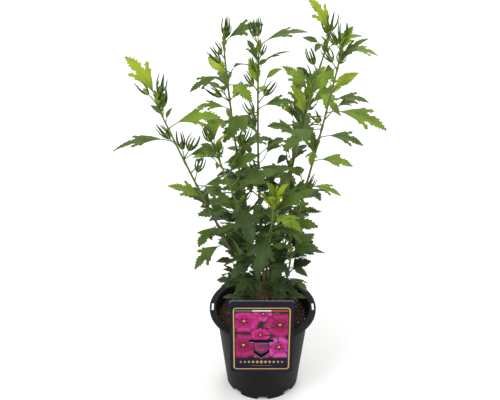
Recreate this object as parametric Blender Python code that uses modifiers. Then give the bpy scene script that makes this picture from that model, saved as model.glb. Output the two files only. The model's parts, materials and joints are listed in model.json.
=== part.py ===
"""A potted rose of sharon: a young many-stemmed shrub in a black nursery pot.

Metres, +Z up. The origin is the middle of the pot's underside, and -Y is the front, where the label hangs.
Headings are degrees in plan, counted from +X towards +Y, so 270 faces the front.
"""

import random
from math import cos, pi, radians, sin, tan

import bmesh
import bpy
from mathutils import Matrix, Vector
from mathutils.bvhtree import BVHTree

# Pot: a thin moulded container with a flat rim, label slots in the rim and drain notches in its foot.
RIM_RADIUS = 0.095
RIM_TOP = 0.1643
RIM_THICK = 0.0015
SKIRT_DEPTH = 0.0052
WALL_TOP_RADIUS = 0.0832
BASE_RADIUS = 0.0654
WALL = 0.0013
RIM_ROUND = 0.0007
FLOOR_THICK = 0.0016
PLATE_RADIUS = 0.040
CHANNEL_HEIGHT = 0.0042
CHANNEL_OUTER = 0.0575
POT_SIDES = 40
NOTCH_COUNT = 8
NOTCH_WIDTH = 0.022
NOTCH_HEIGHT = 0.0075
NOTCH_REACH = 0.016
NOTCH_TAPER = 0.8
SLOT_COUNT = 4
SLOT_RADIUS = 0.0895
SLOT_WIDTH = 0.0036
SLOT_LENGTH = 0.020
CUT_DEPTH = 0.006

# Soil: it fills the pot to just under the rim, and its top is flat where the shrub stands.
SOIL_TOP = 0.1480
SOIL_EDGE_DROP = 0.0025
SOIL_SLOPE = 0.010
SOIL_GAP = 0.0004

# Label: a stiff printed card that hooks through the front slot of the rim.
LABEL_WIDTH = 0.108
LABEL_TOP = 0.2600
LABEL_BOTTOM = 0.0905
LABEL_THICK = 0.0009
LABEL_LEAN = 5.0
LABEL_SIDE = -0.003
LABEL_CORNER = 0.006
LABEL_FRONT = 0.0972
SHIELD_WIDTH = 0.0265
SHIELD_DEPTH = 0.040
SHIELD_POINT = 0.014
BAR_WIDTH = 0.040
BAR_HEIGHT = 0.007
BAR_TOP = 0.0060
HOOK_WIDTH = 0.013
HOOK_THICK = 0.0010
HOOK_DROP = 0.021

# Stool: the short woody trunk that all the canes spring from, the low ones from its shoulder.
STOOL_FOOT_RADIUS = 0.0215
STOOL_TOP_RADIUS = 0.0112
STOOL_HEIGHT = 0.024
SHOULDER_RADIUS = 0.0190
SHOULDER_HEIGHT = 0.009
STOOL_SHIFT = 0.006
STOOL_SIDES = 14

# Canes: a short cane is thinner at its foot than one of full length.
GAP = 0.0004
CANE_FOOT_RADIUS = 0.0029
CANE_TIP_RADIUS = 0.0013
THIN_FOOT = 0.62
FULL_LENGTH = 0.45
CANE_STEPS = 10
BARE_SHARE = 0.17

# Leaf blades: low ones are large with broad lobes, and high ones are smaller and narrower.
LEAF_THICK = 0.0009
LEAF_LOW = 0.070
LEAF_HIGH = 0.054
BROAD_LEAF = 0.36
NARROW_LEAF = 0.31
BROAD_BELOW = 0.26
NARROW_ABOVE = 0.50
RIB_AT = 0.44
LOBE_AT = 0.53
SINUS_AT = 0.56
SINUS_SHARE = 0.42
PETIOLE_WIDTH = 0.0019
PETIOLE_SHARE = 0.27
PETIOLE_LIFT = 12
NAMED_DROOP = 40
NAMED_FOLD = 12
NAMED_ROLL = 14

# Nodes: where they start and end on a cane, and how far a leaf's size, heading and pose vary from the rule.
FIRST_NODE = BARE_SHARE + 0.035
NODES_SPAN = 0.955 - BARE_SHARE
NODE_ROOM = 0.045
SIZE_SPREAD = (0.86, 1.12)
HEADING_SPREAD = (-12, 12)
LOW_RISE = 4
RISE_GAIN = 22
RISE_SPREAD = (-14, 12)
DROOPS = (30, 66)
ROLLS = (-28, 28)
FOLDS = (6, 20)

# Side twigs: each carries two leaves, one on either side.
TWIG_RADIUS = 0.0011
TWIG_TIP_RADIUS = 0.0008
TWIG_LIFT = 0.16
TWIG_RISE = 38
TWIG_LENGTHS = (0.030, 0.055)
TWIG_TURNS = (-60, 60)
TWIG_UP_TO = 0.50
TWIG_LEAF_SIZES = (0.62, 0.86)
TWIG_LEAF_TILTS = (-24, 10)
TWIG_LEAF_TURN = 38
TWIG_LEAF_PLACES = {-1: 0.55, 1: 0.97}

# Buds: a stalk, a cup and a crown of bracts.
BUD_RADIUS = 0.0040
BUD_HEIGHT = 0.0120
BUD_NECK = (0.72, 0.55)
BRACTS = 4
BRACT_LENGTH = 0.0240
BRACT_SPREAD = 0.31
PEDICEL_RADIUS = 0.0008
STALK = 0.018
STALKS = (0.012, 0.024)
NAMED_BUD = 1.15
BUD_SIZES = (0.95, 1.20)
BUD_TURNS = (-40, 40)
BUD_RISES = (52, 76)
BUDS_ABOVE = 0.40

# What grows keeps this far from every limb and from other canes' growth, and this near to its own cane.
CLEARANCE = 0.0020
SPACE_REACH = 0.118
TURNS_TRIED = (0, 24, -24, 48, -48, 75)

# Each cane: its foot as a heading and a distance from the stool's middle, its tip and the bow of its middle.
# Its nodes follow on from a first heading by a turn, and a seed varies them. Leaves that stand out are named
# as (share of the cane, heading, rise, length), and such buds as (share of the cane, heading, rise).
CANES = (
    dict(name="centre", foot=(0, 0.0), tip=(-0.009, 0.015, 0.668), bow=(-0.0065, 0.004, 0),
         nodes=11, first=300, turn=165, seed=67,
         leaves=((0.99, 3, 10, 0.064), (0.84, 122, 50, 0.042), (0.77, 9, 0, 0.048), (0.66, 135, -3, 0.058),
                 (0.76, 230, -20, 0.07), (0.47, 45, 0, 0.064)),
         buds=((0.99, 120, 80), (0.87, 190, 80), (0.79, 10, 55), (0.72, 190, 65))),
    dict(name="right_back", foot=(25, 0.0082), tip=(0.101, 0.035, 0.668), bow=(-0.014, 0, 0),
         nodes=11, first=30, turn=153, seed=10,
         leaves=((0.99, 160, 55, 0.062), (0.85, 207, 20, 0.046), (0.66, 192, 17, 0.048),
                 (0.7, 175, 66, 0.06), (0.95, 345, 25, 0.056), (0.82, 320, -30, 0.048)),
         buds=((0.99, 30, 80), (0.88, 170, 70))),
    dict(name="back", foot=(76, 0.0082), tip=(0.08, 0.13, 0.52), bow=(-0.008, 0.006, 0),
         nodes=10, first=110, turn=205, seed=91,
         leaves=((0.94, 60, 30, 0.076), (0.88, 110, 45, 0.06), (0.35, 125, -5, 0.078))),
    dict(name="left_back", foot=(135, 0.0082), tip=(-0.065, 0.05, 0.655), bow=(-0.006, 0, 0),
         nodes=9, first=140, turn=160, seed=86,
         leaves=((0.99, 354, 24, 0.06), (0.88, 194, -25, 0.052), (0.81, 105, 5, 0.056),
                 (0.86, 125, 15, 0.05), (0.85, 325, -5, 0.06), (0.62, 335, -8, 0.056),
                 (0.76, 185, 0, 0.046), (0.33, 205, 35, 0.078)),
         buds=((0.99, 60, 82), (0.9, 180, 55), (0.79, 190, 40))),
    dict(name="far_left", foot=(184, 0.0082), tip=(-0.167, -0.055, 0.605), bow=(-0.005, 0, 0),
         nodes=7, first=120, turn=185, seed=35,
         leaves=((0.99, 146, 41, 0.07), (0.82, 186, -13, 0.08), (0.88, 0, 7, 0.068), (0.74, 354, 11, 0.048),
                 (0.6, 349, 10, 0.05), (0.53, 172, 17, 0.056), (0.62, 325, -17, 0.054),
                 (0.42, 235, -20, 0.045), (0.33, 200, -42, 0.064), (0.4, 345, -25, 0.05),
                 (0.96, 60, 65, 0.036)),
         buds=((0.99, 20, 75), (0.93, 60, 85), (0.8, 170, 50), (0.74, 20, 62), (0.64, 0, 75))),
    dict(name="left_front", foot=(234, 0.0082), tip=(-0.078, -0.085, 0.54), bow=(0.01, -0.004, 0),
         nodes=11, first=90, turn=217, seed=5,
         leaves=((0.74, 15, 15, 0.08), (0.7, 290, -30, 0.076), (0.25, 50, 30, 0.076)),
         buds=((0.99, 200, 70),)),
    dict(name="front", foot=(285, 0.0082), tip=(0.015, -0.09, 0.425), bow=(-0.006, -0.01, 0),
         nodes=11, first=260, turn=168, seed=63,
         leaves=((0.99, 314, -12, 0.05), (0.87, 250, -45, 0.078), (0.95, 15, 23, 0.076),
                 (0.59, 155, -45, 0.078), (0.85, 355, 0, 0.062))),
    dict(name="right_front", foot=(335, 0.0082), tip=(0.116, -0.03, 0.68), bow=(0.004, 0, 0),
         nodes=7, first=60, turn=144, seed=0,
         leaves=((0.99, 11, -18, 0.048), (0.84, 27, 23, 0.046), (0.78, 348, -19, 0.08), (0.82, 0, -8, 0.05),
                 (0.69, 0, -19, 0.058), (0.6, 355, -13, 0.052), (0.5, 350, -18, 0.048),
                 (0.48, 290, 12, 0.056), (0.94, 240, -20, 0.048), (0.72, 225, -10, 0.07),
                 (0.6, 130, 70, 0.048), (0.97, 35, 57, 0.042), (0.93, 0, 42, 0.056)),
         buds=((0.99, 80, 82), (0.93, 200, 60))),
    dict(name="low_back_left", foot=(125, 0.0155), tip=(-0.038, 0.105, 0.42), bow=(-0.004, 0.004, 0),
         nodes=9, first=260, turn=205, seed=99,
         leaves=((0.97, 285, -35, 0.058), (0.93, 105, -45, 0.076), (0.65, 180, -5, 0.078))),
    dict(name="low_back_right", foot=(52, 0.0155), tip=(0.052, 0.09, 0.33), bow=(0.004, 0.006, 0),
         nodes=6, first=140, turn=210, seed=9,
         leaves=((0.89, 120, 60, 0.078), (0.84, 285, -15, 0.07))),
    dict(name="low_left", foot=(200, 0.0155), tip=(-0.046, -0.046, 0.295), bow=(-0.004, -0.002, 0),
         nodes=9, first=170, turn=165, seed=45,
         leaves=((0.93, 225, 70, 0.076), (0.93, 130, 55, 0.05), (0.73, 60, -35, 0.05),
                 (0.33, 160, 60, 0.05))),
    dict(name="low_front", foot=(262, 0.0155), tip=(-0.012, -0.078, 0.29), bow=(0.002, -0.004, 0),
         nodes=6, first=50, turn=150, seed=10,
         leaves=((0.95, 235, 0, 0.06), (0.75, 25, -20, 0.076), (0.8, 190, 25, 0.058), (0.59, 205, 60, 0.06),
                 (0.67, 90, 15, 0.044))),
    dict(name="low_right", foot=(322, 0.0155), tip=(0.046, -0.046, 0.31), bow=(0.005, -0.002, 0),
         nodes=5, first=0, turn=130, seed=65,
         leaves=((0.99, 335, 25, 0.052), (0.87, 195, 0, 0.076), (0.92, 50, 10, 0.064),
                 (0.72, 180, 0, 0.062), (0.8, 326, -14, 0.036), (0.42, 310, 30, 0.044))),
)

COLOURS = {
    "pot_plastic": ((0.022, 0.022, 0.023), 0.42),
    "soil": ((0.030, 0.019, 0.012), 0.95),
    "label_card": ((0.016, 0.014, 0.045), 0.35),
    "bark": ((0.150, 0.095, 0.055), 0.80),
    "stem": ((0.150, 0.210, 0.055), 0.60),
    "leaf": ((0.095, 0.200, 0.030), 0.55),
}


def material(name):
    made = bpy.data.materials.get(name)
    if made is None:
        colour, roughness = COLOURS[name]
        made = bpy.data.materials.new(name)
        made.use_nodes = True
        shader = made.node_tree.nodes["Principled BSDF"]
        shader.inputs["Base Color"].default_value = (*colour, 1)
        shader.inputs["Roughness"].default_value = roughness
        shader.inputs["Metallic"].default_value = 0
    return made


def collection(name):
    made = bpy.data.collections.new(name)
    bpy.context.scene.collection.children.link(made)
    return made


def add_object(name, data, holder, look=None):
    made = bpy.data.objects.new(name, data)
    holder.objects.link(made)
    if look:
        made.data.materials.append(material(look))
    return made


def mesh_object(name, verts, faces, holder, look=None):
    data = bpy.data.meshes.new(name)
    data.from_pydata([tuple(v) for v in verts], [], faces)
    return add_object(name, data, holder, look)


def settled(thing):
    """Puts an object's evaluated mesh in place of the object and its modifiers."""
    bpy.context.view_layer.update()
    graph = bpy.context.evaluated_depsgraph_get()
    data = bpy.data.meshes.new_from_object(thing.evaluated_get(graph))
    name, place, holder = thing.name, thing.matrix_world.copy(), thing.users_collection[0]
    bpy.data.objects.remove(thing)
    made = bpy.data.objects.new(name, data)
    made.matrix_world = place
    holder.objects.link(made)
    welded = bmesh.new()
    welded.from_mesh(data)
    bmesh.ops.remove_doubles(welded, verts=welded.verts, dist=1e-6)
    welded.to_mesh(data)
    welded.free()
    return made


def turned(name, profile, sides, holder, look):
    """A solid of revolution from (radius, height) points, from the axis on top round to the axis below."""
    data = bpy.data.meshes.new(name)
    points = [(radius, 0, height) for radius, height in profile]
    data.from_pydata(points, [(i, i + 1) for i in range(len(points) - 1)], [])
    made = add_object(name, data, holder, look)
    screw = made.modifiers.new("turn", "SCREW")
    screw.steps = screw.render_steps = sides
    screw.use_merge_vertices = True
    screw.merge_threshold = 0.00001
    return made


def cut(thing, cutters, operation="DIFFERENCE"):
    change = thing.modifiers.new("cut", "BOOLEAN")
    change.operation = operation
    change.operand_type = "COLLECTION"
    change.collection = cutters
    change.solver = "EXACT"


def wall_radius(height):
    """Outer radius of the pot's tapering wall at a height."""
    return BASE_RADIUS + (WALL_TOP_RADIUS - BASE_RADIUS) * height / (RIM_TOP - RIM_THICK)


def make_pot(holder, cutters):
    floor_rise = CHANNEL_HEIGHT + FLOOR_THICK
    skirt_inner = RIM_RADIUS - WALL
    under_rim = RIM_TOP - RIM_THICK
    inside = [(0, FLOOR_THICK), (PLATE_RADIUS - 0.001, FLOOR_THICK), (PLATE_RADIUS + 0.002, floor_rise),
              (wall_radius(floor_rise) - WALL, floor_rise),
              (WALL_TOP_RADIUS - WALL + 0.0004, RIM_TOP - 0.0012)]
    skirt_foot = RIM_TOP - SKIRT_DEPTH
    rim = [(WALL_TOP_RADIUS + 0.0008, RIM_TOP), (RIM_RADIUS - RIM_ROUND, RIM_TOP),
           (RIM_RADIUS, RIM_TOP - RIM_ROUND), (RIM_RADIUS, skirt_foot), (skirt_inner, skirt_foot),
           (skirt_inner, under_rim)]
    outside = [(WALL_TOP_RADIUS + 0.0012, under_rim), (WALL_TOP_RADIUS, under_rim - 0.002),
               (BASE_RADIUS, 0.0022), (BASE_RADIUS - 0.0015, 0), (CHANNEL_OUTER + 0.0015, 0),
               (CHANNEL_OUTER, CHANNEL_HEIGHT), (PLATE_RADIUS + 0.003, CHANNEL_HEIGHT),
               (PLATE_RADIUS, 0), (0, 0)]
    pot = turned("pot", [*inside, *rim, *outside], POT_SIDES, holder, "pot_plastic")

    for i in range(NOTCH_COUNT):
        heading = 2 * pi * i / NOTCH_COUNT - pi / 2
        size = (NOTCH_REACH, NOTCH_WIDTH, 2 * NOTCH_HEIGHT)
        notch = wedge_cutter(f"drain_notch_{i}", size, NOTCH_TAPER, cutters)
        distance = BASE_RADIUS - NOTCH_REACH / 2 + CUT_DEPTH
        notch.location = (distance * cos(heading), distance * sin(heading), 0)
        notch.rotation_euler = (0, 0, heading)
    for i in range(SLOT_COUNT):
        heading = 2 * pi * i / SLOT_COUNT
        slot = wedge_cutter(f"rim_slot_{i}", (SLOT_WIDTH, SLOT_LENGTH, CUT_DEPTH), 1, cutters)
        slot.location = (SLOT_RADIUS * cos(heading), SLOT_RADIUS * sin(heading), RIM_TOP)
        slot.rotation_euler = (0, 0, heading)
    cut(pot, cutters)


def wedge_cutter(name, size, taper, cutters):
    """A box whose top is narrower by its taper."""
    bpy.ops.mesh.primitive_cube_add(size=1)
    made = bpy.context.object
    made.name = name
    for vertex in made.data.vertices:
        narrowing = taper if vertex.co.z > 0 else 1
        vertex.co = Vector((vertex.co.x * size[0], vertex.co.y * size[1] * narrowing, vertex.co.z * size[2]))
    made.hide_render = True
    made.display_type = "WIRE"
    move_to(made, cutters)
    return made


def move_to(thing, holder):
    for old in list(thing.users_collection):
        old.objects.unlink(thing)
    holder.objects.link(thing)


def make_soil(holder):
    bottom = CHANNEL_HEIGHT + FLOOR_THICK + SOIL_GAP
    inner = WALL + 2 * SOIL_GAP
    edge = SOIL_TOP - SOIL_EDGE_DROP
    rim = wall_radius(edge) - inner
    foot = wall_radius(bottom) - inner
    profile = [(0, SOIL_TOP), (rim - SOIL_SLOPE, SOIL_TOP), (rim, edge), (foot, bottom), (0, bottom)]
    turned("soil", profile, POT_SIDES, holder, "soil")


def label_place(height):
    """Distance of the card's middle plane in front of the pot's axis, at a height."""
    return LABEL_FRONT + (height - RIM_TOP) * tan(radians(LABEL_LEAN))


def make_label(holder):
    """The card with its cut-out, and the hook bent back from it over the rim and down through the slot."""
    stretch = 1 / cos(radians(LABEL_LEAN))
    above = (LABEL_TOP - RIM_TOP) * stretch
    below = (LABEL_BOTTOM - RIM_TOP) * stretch
    half = LABEL_WIDTH / 2
    card = bpy.data.curves.new("label", "CURVE")
    card.dimensions = "2D"
    card.fill_mode = "BOTH"
    card.extrude = LABEL_THICK / 2
    chamfers = []
    corners = ((1, below, True), (1, above, False), (-1, above, True), (-1, below, False))
    for x_side, y_edge, first in corners:
        inward = 1 if y_edge == below else -1
        near_side = (x_side * half, y_edge + inward * LABEL_CORNER)
        near_end = (x_side * (half - LABEL_CORNER), y_edge)
        middle = (x_side * (half - LABEL_CORNER * 0.3), y_edge + inward * LABEL_CORNER * 0.3)
        chamfers += [near_end, middle, near_side] if first else [near_side, middle, near_end]
    shield_half, bar_half = SHIELD_WIDTH / 2, BAR_WIDTH / 2
    bar_bottom = BAR_TOP - BAR_HEIGHT
    point = bar_bottom - SHIELD_DEPTH
    opening = [(-bar_half, BAR_TOP), (bar_half, BAR_TOP), (bar_half, bar_bottom), (shield_half, bar_bottom),
               (shield_half, point + SHIELD_POINT), (0, point), (-shield_half, point + SHIELD_POINT),
               (-shield_half, bar_bottom), (-bar_half, bar_bottom)]
    for outline in (chamfers, opening):
        spline = card.splines.new("POLY")
        spline.points.add(len(outline) - 1)
        for point, (x, y) in zip(spline.points, outline):
            point.co = (x, y, 0, 1)
        spline.use_cyclic_u = True
    label = add_object("label", card, holder, "label_card")
    label.location = (LABEL_SIDE, -LABEL_FRONT, RIM_TOP)
    label.rotation_euler = (radians(90 + LABEL_LEAN), 0, 0)
    label = settled(label)

    # The hook is one bent strip: it leaves the card above the bar, crosses the rim and drops in the slot.
    over = RIM_TOP + 0.0018
    drop = -SLOT_RADIUS
    leave = RIM_TOP + BAR_TOP + 0.0012
    card = -label_place(leave)
    path = [(card, leave), (card + 0.0012, leave - 0.0002), (drop - 0.0016, over + 0.0008),
            (drop, over - 0.0006), (drop, RIM_TOP - HOOK_DROP * 0.6), (drop + 0.0004, RIM_TOP - HOOK_DROP)]
    halves = (HOOK_WIDTH / 2,) * 5 + (HOOK_WIDTH / 7,)
    verts = [(LABEL_SIDE + side * half, y, z) for side in (-1, 1) for (y, z), half in zip(path, halves)]
    count = len(path)
    faces = [(i, i + 1, count + i + 1, count + i) for i in range(count - 1)]
    strip = mesh_object("label_hook", verts, faces, holder)
    body = strip.modifiers.new("body", "SOLIDIFY")
    body.thickness = HOOK_THICK
    body.offset = 0
    joined = collection("label_parts")
    move_to(strip, joined)
    cut(label, joined, "UNION")
    settled(label)
    empty_out(joined)


def empty_out(holder):
    for thing in list(holder.objects):
        bpy.data.objects.remove(thing)
    bpy.data.collections.remove(holder)


def make_stool(holder):
    """The stool flares at the soil and is cut flat there."""
    foot = SOIL_TOP + GAP
    top = foot + STOOL_HEIGHT
    shoulder = foot + SHOULDER_HEIGHT
    profile = [(0, top), (STOOL_TOP_RADIUS, top), (STOOL_TOP_RADIUS * 1.05, top - 0.004),
               (STOOL_TOP_RADIUS, shoulder), (SHOULDER_RADIUS, shoulder),
               (SHOULDER_RADIUS * 1.04, shoulder - 0.003), (SHOULDER_RADIUS * 0.95, foot + 0.002),
               (STOOL_FOOT_RADIUS, foot), (0, foot)]
    stool = turned("stool", profile, STOOL_SIDES, holder, "bark")
    stool.location.x = STOOL_SHIFT


def cane_foot(cane):
    """The foot stands just clear of the stool, raised a little more the further the cane leans."""
    heading, distance = cane["foot"]
    stand = STOOL_HEIGHT if distance < STOOL_TOP_RADIUS else SHOULDER_HEIGHT
    level = SOIL_TOP + GAP + stand + GAP
    foot = Vector((STOOL_SHIFT + distance * cos(radians(heading)), distance * sin(radians(heading)), level))
    start = (Vector(cane["tip"]) - foot) / 2 + 2 * Vector(cane["bow"])
    foot.z += CANE_FOOT_RADIUS * start.normalized().xy.length
    return foot


def cane_point(cane, share):
    """A cane's axis is a quadratic curve from foot to tip, pushed sideways in the middle by its bow."""
    foot, tip = cane_foot(cane), Vector(cane["tip"])
    middle = (foot + tip) / 2 + 2 * Vector(cane["bow"])
    rest = 1 - share
    return foot * rest * rest + middle * 2 * share * rest + tip * share * share


def cane_length(cane):
    return (Vector(cane["tip"]) - cane_foot(cane)).length


def cane_radius(cane, share):
    foot = CANE_FOOT_RADIUS * (THIN_FOOT + (1 - THIN_FOOT) * min(1, cane_length(cane) / FULL_LENGTH))
    return foot + (CANE_TIP_RADIUS - foot) * share ** 0.8


def tube(name, points, radii, resolution, holder, look):
    """A round tube through points, with its own radius at each."""
    curve = bpy.data.curves.new(name, "CURVE")
    curve.dimensions = "3D"
    curve.bevel_depth = 1
    curve.bevel_resolution = resolution
    curve.use_fill_caps = True
    spline = curve.splines.new("POLY")
    spline.points.add(len(points) - 1)
    for knot, point, radius in zip(spline.points, points, radii):
        knot.co = (*point, 1)
        knot.radius = radius
    return settled(add_object(name, curve, holder, look))


def cane_tube(name, cane, start, end, holder, look):
    """A tapering tube along one stretch of a cane."""
    steps = max(2, round(CANE_STEPS * (end - start)))
    shares = [start + (end - start) * i / steps for i in range(steps + 1)]
    points = [cane_point(cane, share) for share in shares]
    return tube(name, points, [cane_radius(cane, share) for share in shares], 1, holder, look)


def twig_point(twig, share):
    """A side twig leaves its cane at a rise and turns upwards along its length."""
    along = heading_vector(twig["heading"], twig["rise"]) * share
    return twig["root"] + (along + Vector((0, 0, TWIG_LIFT * share * share))) * twig["length"]


def heading_vector(heading, rise):
    """Unit vector with a heading in plan and a rise above level, in degrees."""
    flat = cos(radians(rise))
    return Vector((flat * cos(radians(heading)), flat * sin(radians(heading)), sin(radians(rise))))


def leaf_point(leaf, along, across):
    """A point of a leaf's middle surface: along runs from 0 at the blade's base to 1 at its tip.

    Across is in metres from the rib. The rib is an arc that sinks by the leaf's droop, and the two halves
    rise from it by its fold."""
    length, droop = leaf["length"], radians(leaf["droop"])
    bend = droop / length
    start = radians(leaf["rise"])
    here = start - bend * along * length
    forward = (sin(start) - sin(here)) / bend
    upward = (cos(here) - cos(start)) / bend
    ahead = heading_vector(leaf["heading"], 0)
    side = Vector((-ahead.y, ahead.x, 0))
    tangent = ahead * cos(here) + Vector((0, 0, sin(here)))
    normal = side.cross(tangent) * -1
    roll = Matrix.Rotation(radians(leaf["roll"]), 3, tangent)
    side, normal = roll @ side, roll @ normal
    fold = radians(leaf["fold"])
    base = leaf["root"] + heading_vector(leaf["heading"], leaf["rise"] + PETIOLE_LIFT) * leaf["petiole"]
    rib = base + ahead * forward + Vector((0, 0, upward))
    return rib + side * across * cos(fold) + normal * abs(across) * sin(fold)


def leaf_sheet(leaf):
    """Vertices and faces of a three-lobed blade and its flat petiole, as one open sheet."""
    length, breadth = leaf["length"], leaf["breadth"]
    half = PETIOLE_WIDTH / 2
    side = heading_vector(leaf["heading"] + 90, 0)
    verts = [leaf["root"] - side * half, leaf["root"] + side * half]
    outline = ((0.0, half / length), (LOBE_AT, breadth), (SINUS_AT, breadth * SINUS_SHARE))
    for along, across in outline:
        verts += [leaf_point(leaf, along, -across * length), leaf_point(leaf, along, across * length)]
    verts += [leaf_point(leaf, RIB_AT, 0), leaf_point(leaf, 1.0, 0)]
    rib, tip = 8, 9
    faces = [(0, 2, 3, 1), (3, 2, rib), (2, 4, rib), (5, 3, rib), (4, 6, rib), (7, 5, rib), (6, tip, rib),
             (tip, 7, rib)]
    return verts, faces


def bud_mesh(bud):
    """Vertices and faces of a closed bud: a thin stalk, a round cup and a crown of long pointed bracts."""
    up = heading_vector(bud["heading"], bud["rise"])
    across = up.orthogonal().normalized()
    round_it = [Matrix.Rotation(2 * pi * i / BRACTS, 3, up) @ across for i in range(BRACTS)]
    half_way = Matrix.Rotation(pi / BRACTS, 3, up)
    foot, cup = bud["root"], bud["root"] + up * bud["stalk"]
    size = bud["size"]
    verts = [foot + d * PEDICEL_RADIUS for d in round_it]
    verts += [cup + d * PEDICEL_RADIUS for d in round_it]
    verts += [cup + up * BUD_RADIUS * size + d * BUD_RADIUS * size for d in round_it]
    neck_radius, neck_height = BUD_RADIUS * BUD_NECK[0], BUD_HEIGHT * BUD_NECK[1]
    verts += [cup + (up * neck_height + half_way @ d * neck_radius) * size for d in round_it]
    verts += [cup + (up + half_way @ d * BRACT_SPREAD) * BRACT_LENGTH * size for d in round_it]
    top = len(verts)
    verts.append(cup + up * BUD_HEIGHT * size)
    n = BRACTS
    faces = [tuple(reversed(range(n)))]
    for i in range(n):
        j = (i + 1) % n
        ring, cup_ring, inner, bract = n, 2 * n, 3 * n, 4 * n
        faces += [(i, j, ring + j, ring + i), (ring + i, ring + j, cup_ring + j, cup_ring + i),
                  (cup_ring + i, cup_ring + j, bract + i), (cup_ring + j, inner + i, bract + i),
                  (inner + i, cup_ring + i, bract + i), (inner + i, cup_ring + j, inner + j),
                  (inner + i, inner + j, top)]
    return verts, faces


def thickened(verts, faces, thickness):
    """An open sheet made solid: pushed out both ways by half the thickness, with a rim round it."""
    count = len(verts)
    out, back = swollen(verts, faces, thickness / 2), swollen(verts, faces, -thickness / 2)
    edges = {}
    for face in faces:
        for a, b in zip(face, face[1:] + face[:1]):
            edges[(a, b)] = (b, a) not in edges
            if (b, a) in edges:
                edges[(b, a)] = False
    rim = [(b, a, count + a, count + b) for (a, b), is_rim in edges.items() if is_rim]
    under = [tuple(count + i for i in reversed(face)) for face in faces]
    return out + back, list(faces) + under + rim


def swollen(verts, faces, by):
    """A mesh's vertices pushed out along their normals."""
    shell = bmesh.new()
    made = [shell.verts.new(v) for v in verts]
    for face in faces:
        shell.faces.new([made[i] for i in face])
    shell.normal_update()
    out = [v.co + v.normal * by for v in made]
    shell.free()
    return out


def plan_growth():
    """Every twig, leaf and bud of every cane, in order, kept clear of what grows on the other canes.

    The leaves that a cane names come first, rolled a little to show their upper side to the front. Its nodes
    then follow a seeded rule, each a turn on."""
    guards = Guards()
    plan = {cane["name"]: {"twigs": [], "leaves": [], "buds": []} for cane in CANES}
    for cane in CANES:
        mine = plan[cane["name"]]
        for share, heading, rise, length in cane.get("leaves", ()):
            root, sunk = cane_point(cane, share), cane_radius(cane, share)
            roll = NAMED_ROLL * cos(radians(heading))
            leaf = make_leaf(root, heading, rise, length, NAMED_DROOP, roll, NAMED_FOLD, sunk)
            guards.keep(cane, "leaf", leaf, mine["leaves"])
        for share, heading, rise in cane.get("buds", ()):
            root = cane_point(cane, share)
            bud = dict(root=root, heading=heading, rise=rise, stalk=STALK, size=NAMED_BUD)
            guards.keep(cane, "bud", bud, mine["buds"])
    for cane in CANES:
        grow_nodes(cane, plan[cane["name"]], guards)
    return plan


def grow_nodes(cane, mine, guards):
    """A leaf at each node, a side twig with leaves of its own at low ones, and a bud at the high ones."""
    dice = random.Random(f"{cane['name']} {cane['seed']}")
    named = [leaf[0] for leaf in cane.get("leaves", ())]
    count = cane["nodes"]
    for i in range(count):
        height = i / (count - 1)
        share = FIRST_NODE + NODES_SPAN * height
        axis, radius = cane_point(cane, share), cane_radius(cane, share)
        size = (LEAF_LOW + (LEAF_HIGH - LEAF_LOW) * height) * dice.uniform(*SIZE_SPREAD)
        heading = cane["first"] + i * cane["turn"] + dice.uniform(*HEADING_SPREAD)
        rise = LOW_RISE + RISE_GAIN * height + dice.uniform(*RISE_SPREAD)
        droop, roll, fold = dice.uniform(*DROOPS), dice.uniform(*ROLLS), dice.uniform(*FOLDS)
        twig_length, twig_turn = dice.uniform(*TWIG_LENGTHS), dice.uniform(*TWIG_TURNS)
        twig_leaves = [(dice.uniform(*TWIG_LEAF_SIZES), dice.uniform(*TWIG_LEAF_TILTS)) for _ in range(2)]
        bud_turn, bud_rise = dice.uniform(*BUD_TURNS), dice.uniform(*BUD_RISES)
        stalk, bud_size = dice.uniform(*STALKS), dice.uniform(*BUD_SIZES)
        if all(abs(share - other) > NODE_ROOM for other in named):
            leaf = make_leaf(axis, heading, rise, size, droop, roll, fold, radius)
            guards.keep(cane, "leaf", leaf, mine["leaves"])
        if axis.z > BUDS_ABOVE and i % 2 == 0:
            bud = dict(root=axis, heading=heading + bud_turn, rise=bud_rise, stalk=stalk, size=bud_size)
            guards.keep(cane, "bud", bud, mine["buds"])
        if height < TWIG_UP_TO and i % 2 == 1:
            twig = dict(root=axis, heading=heading + 90 + twig_turn, rise=TWIG_RISE, length=twig_length)
            if not guards.keep(cane, "twig", twig, mine["twigs"]):
                continue
            for side, (share_of_size, tilt) in zip((-1, 1), twig_leaves):
                root = twig_point(twig, TWIG_LEAF_PLACES[side])
                leaf = make_leaf(root, twig["heading"] + side * TWIG_LEAF_TURN, rise + tilt,
                                 size * share_of_size, droop, roll, fold, TWIG_TIP_RADIUS)
                guards.keep(cane, "leaf", leaf, mine["leaves"])


def make_leaf(root, heading, rise, length, droop, roll, fold, sunk):
    """A leaf whose blade's two ends lie on a line that rises at the given angle.

    Low leaves have broad lobes, and those higher up are narrower."""
    start = rise + droop / 2
    height = min(1, max(0, (root.z - BROAD_BELOW) / (NARROW_ABOVE - BROAD_BELOW)))
    breadth = BROAD_LEAF + (NARROW_LEAF - BROAD_LEAF) * height
    return dict(root=root, heading=heading, rise=start, droop=droop, length=length, roll=roll, fold=fold,
                petiole=length * PETIOLE_SHARE + sunk, breadth=breadth)


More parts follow.
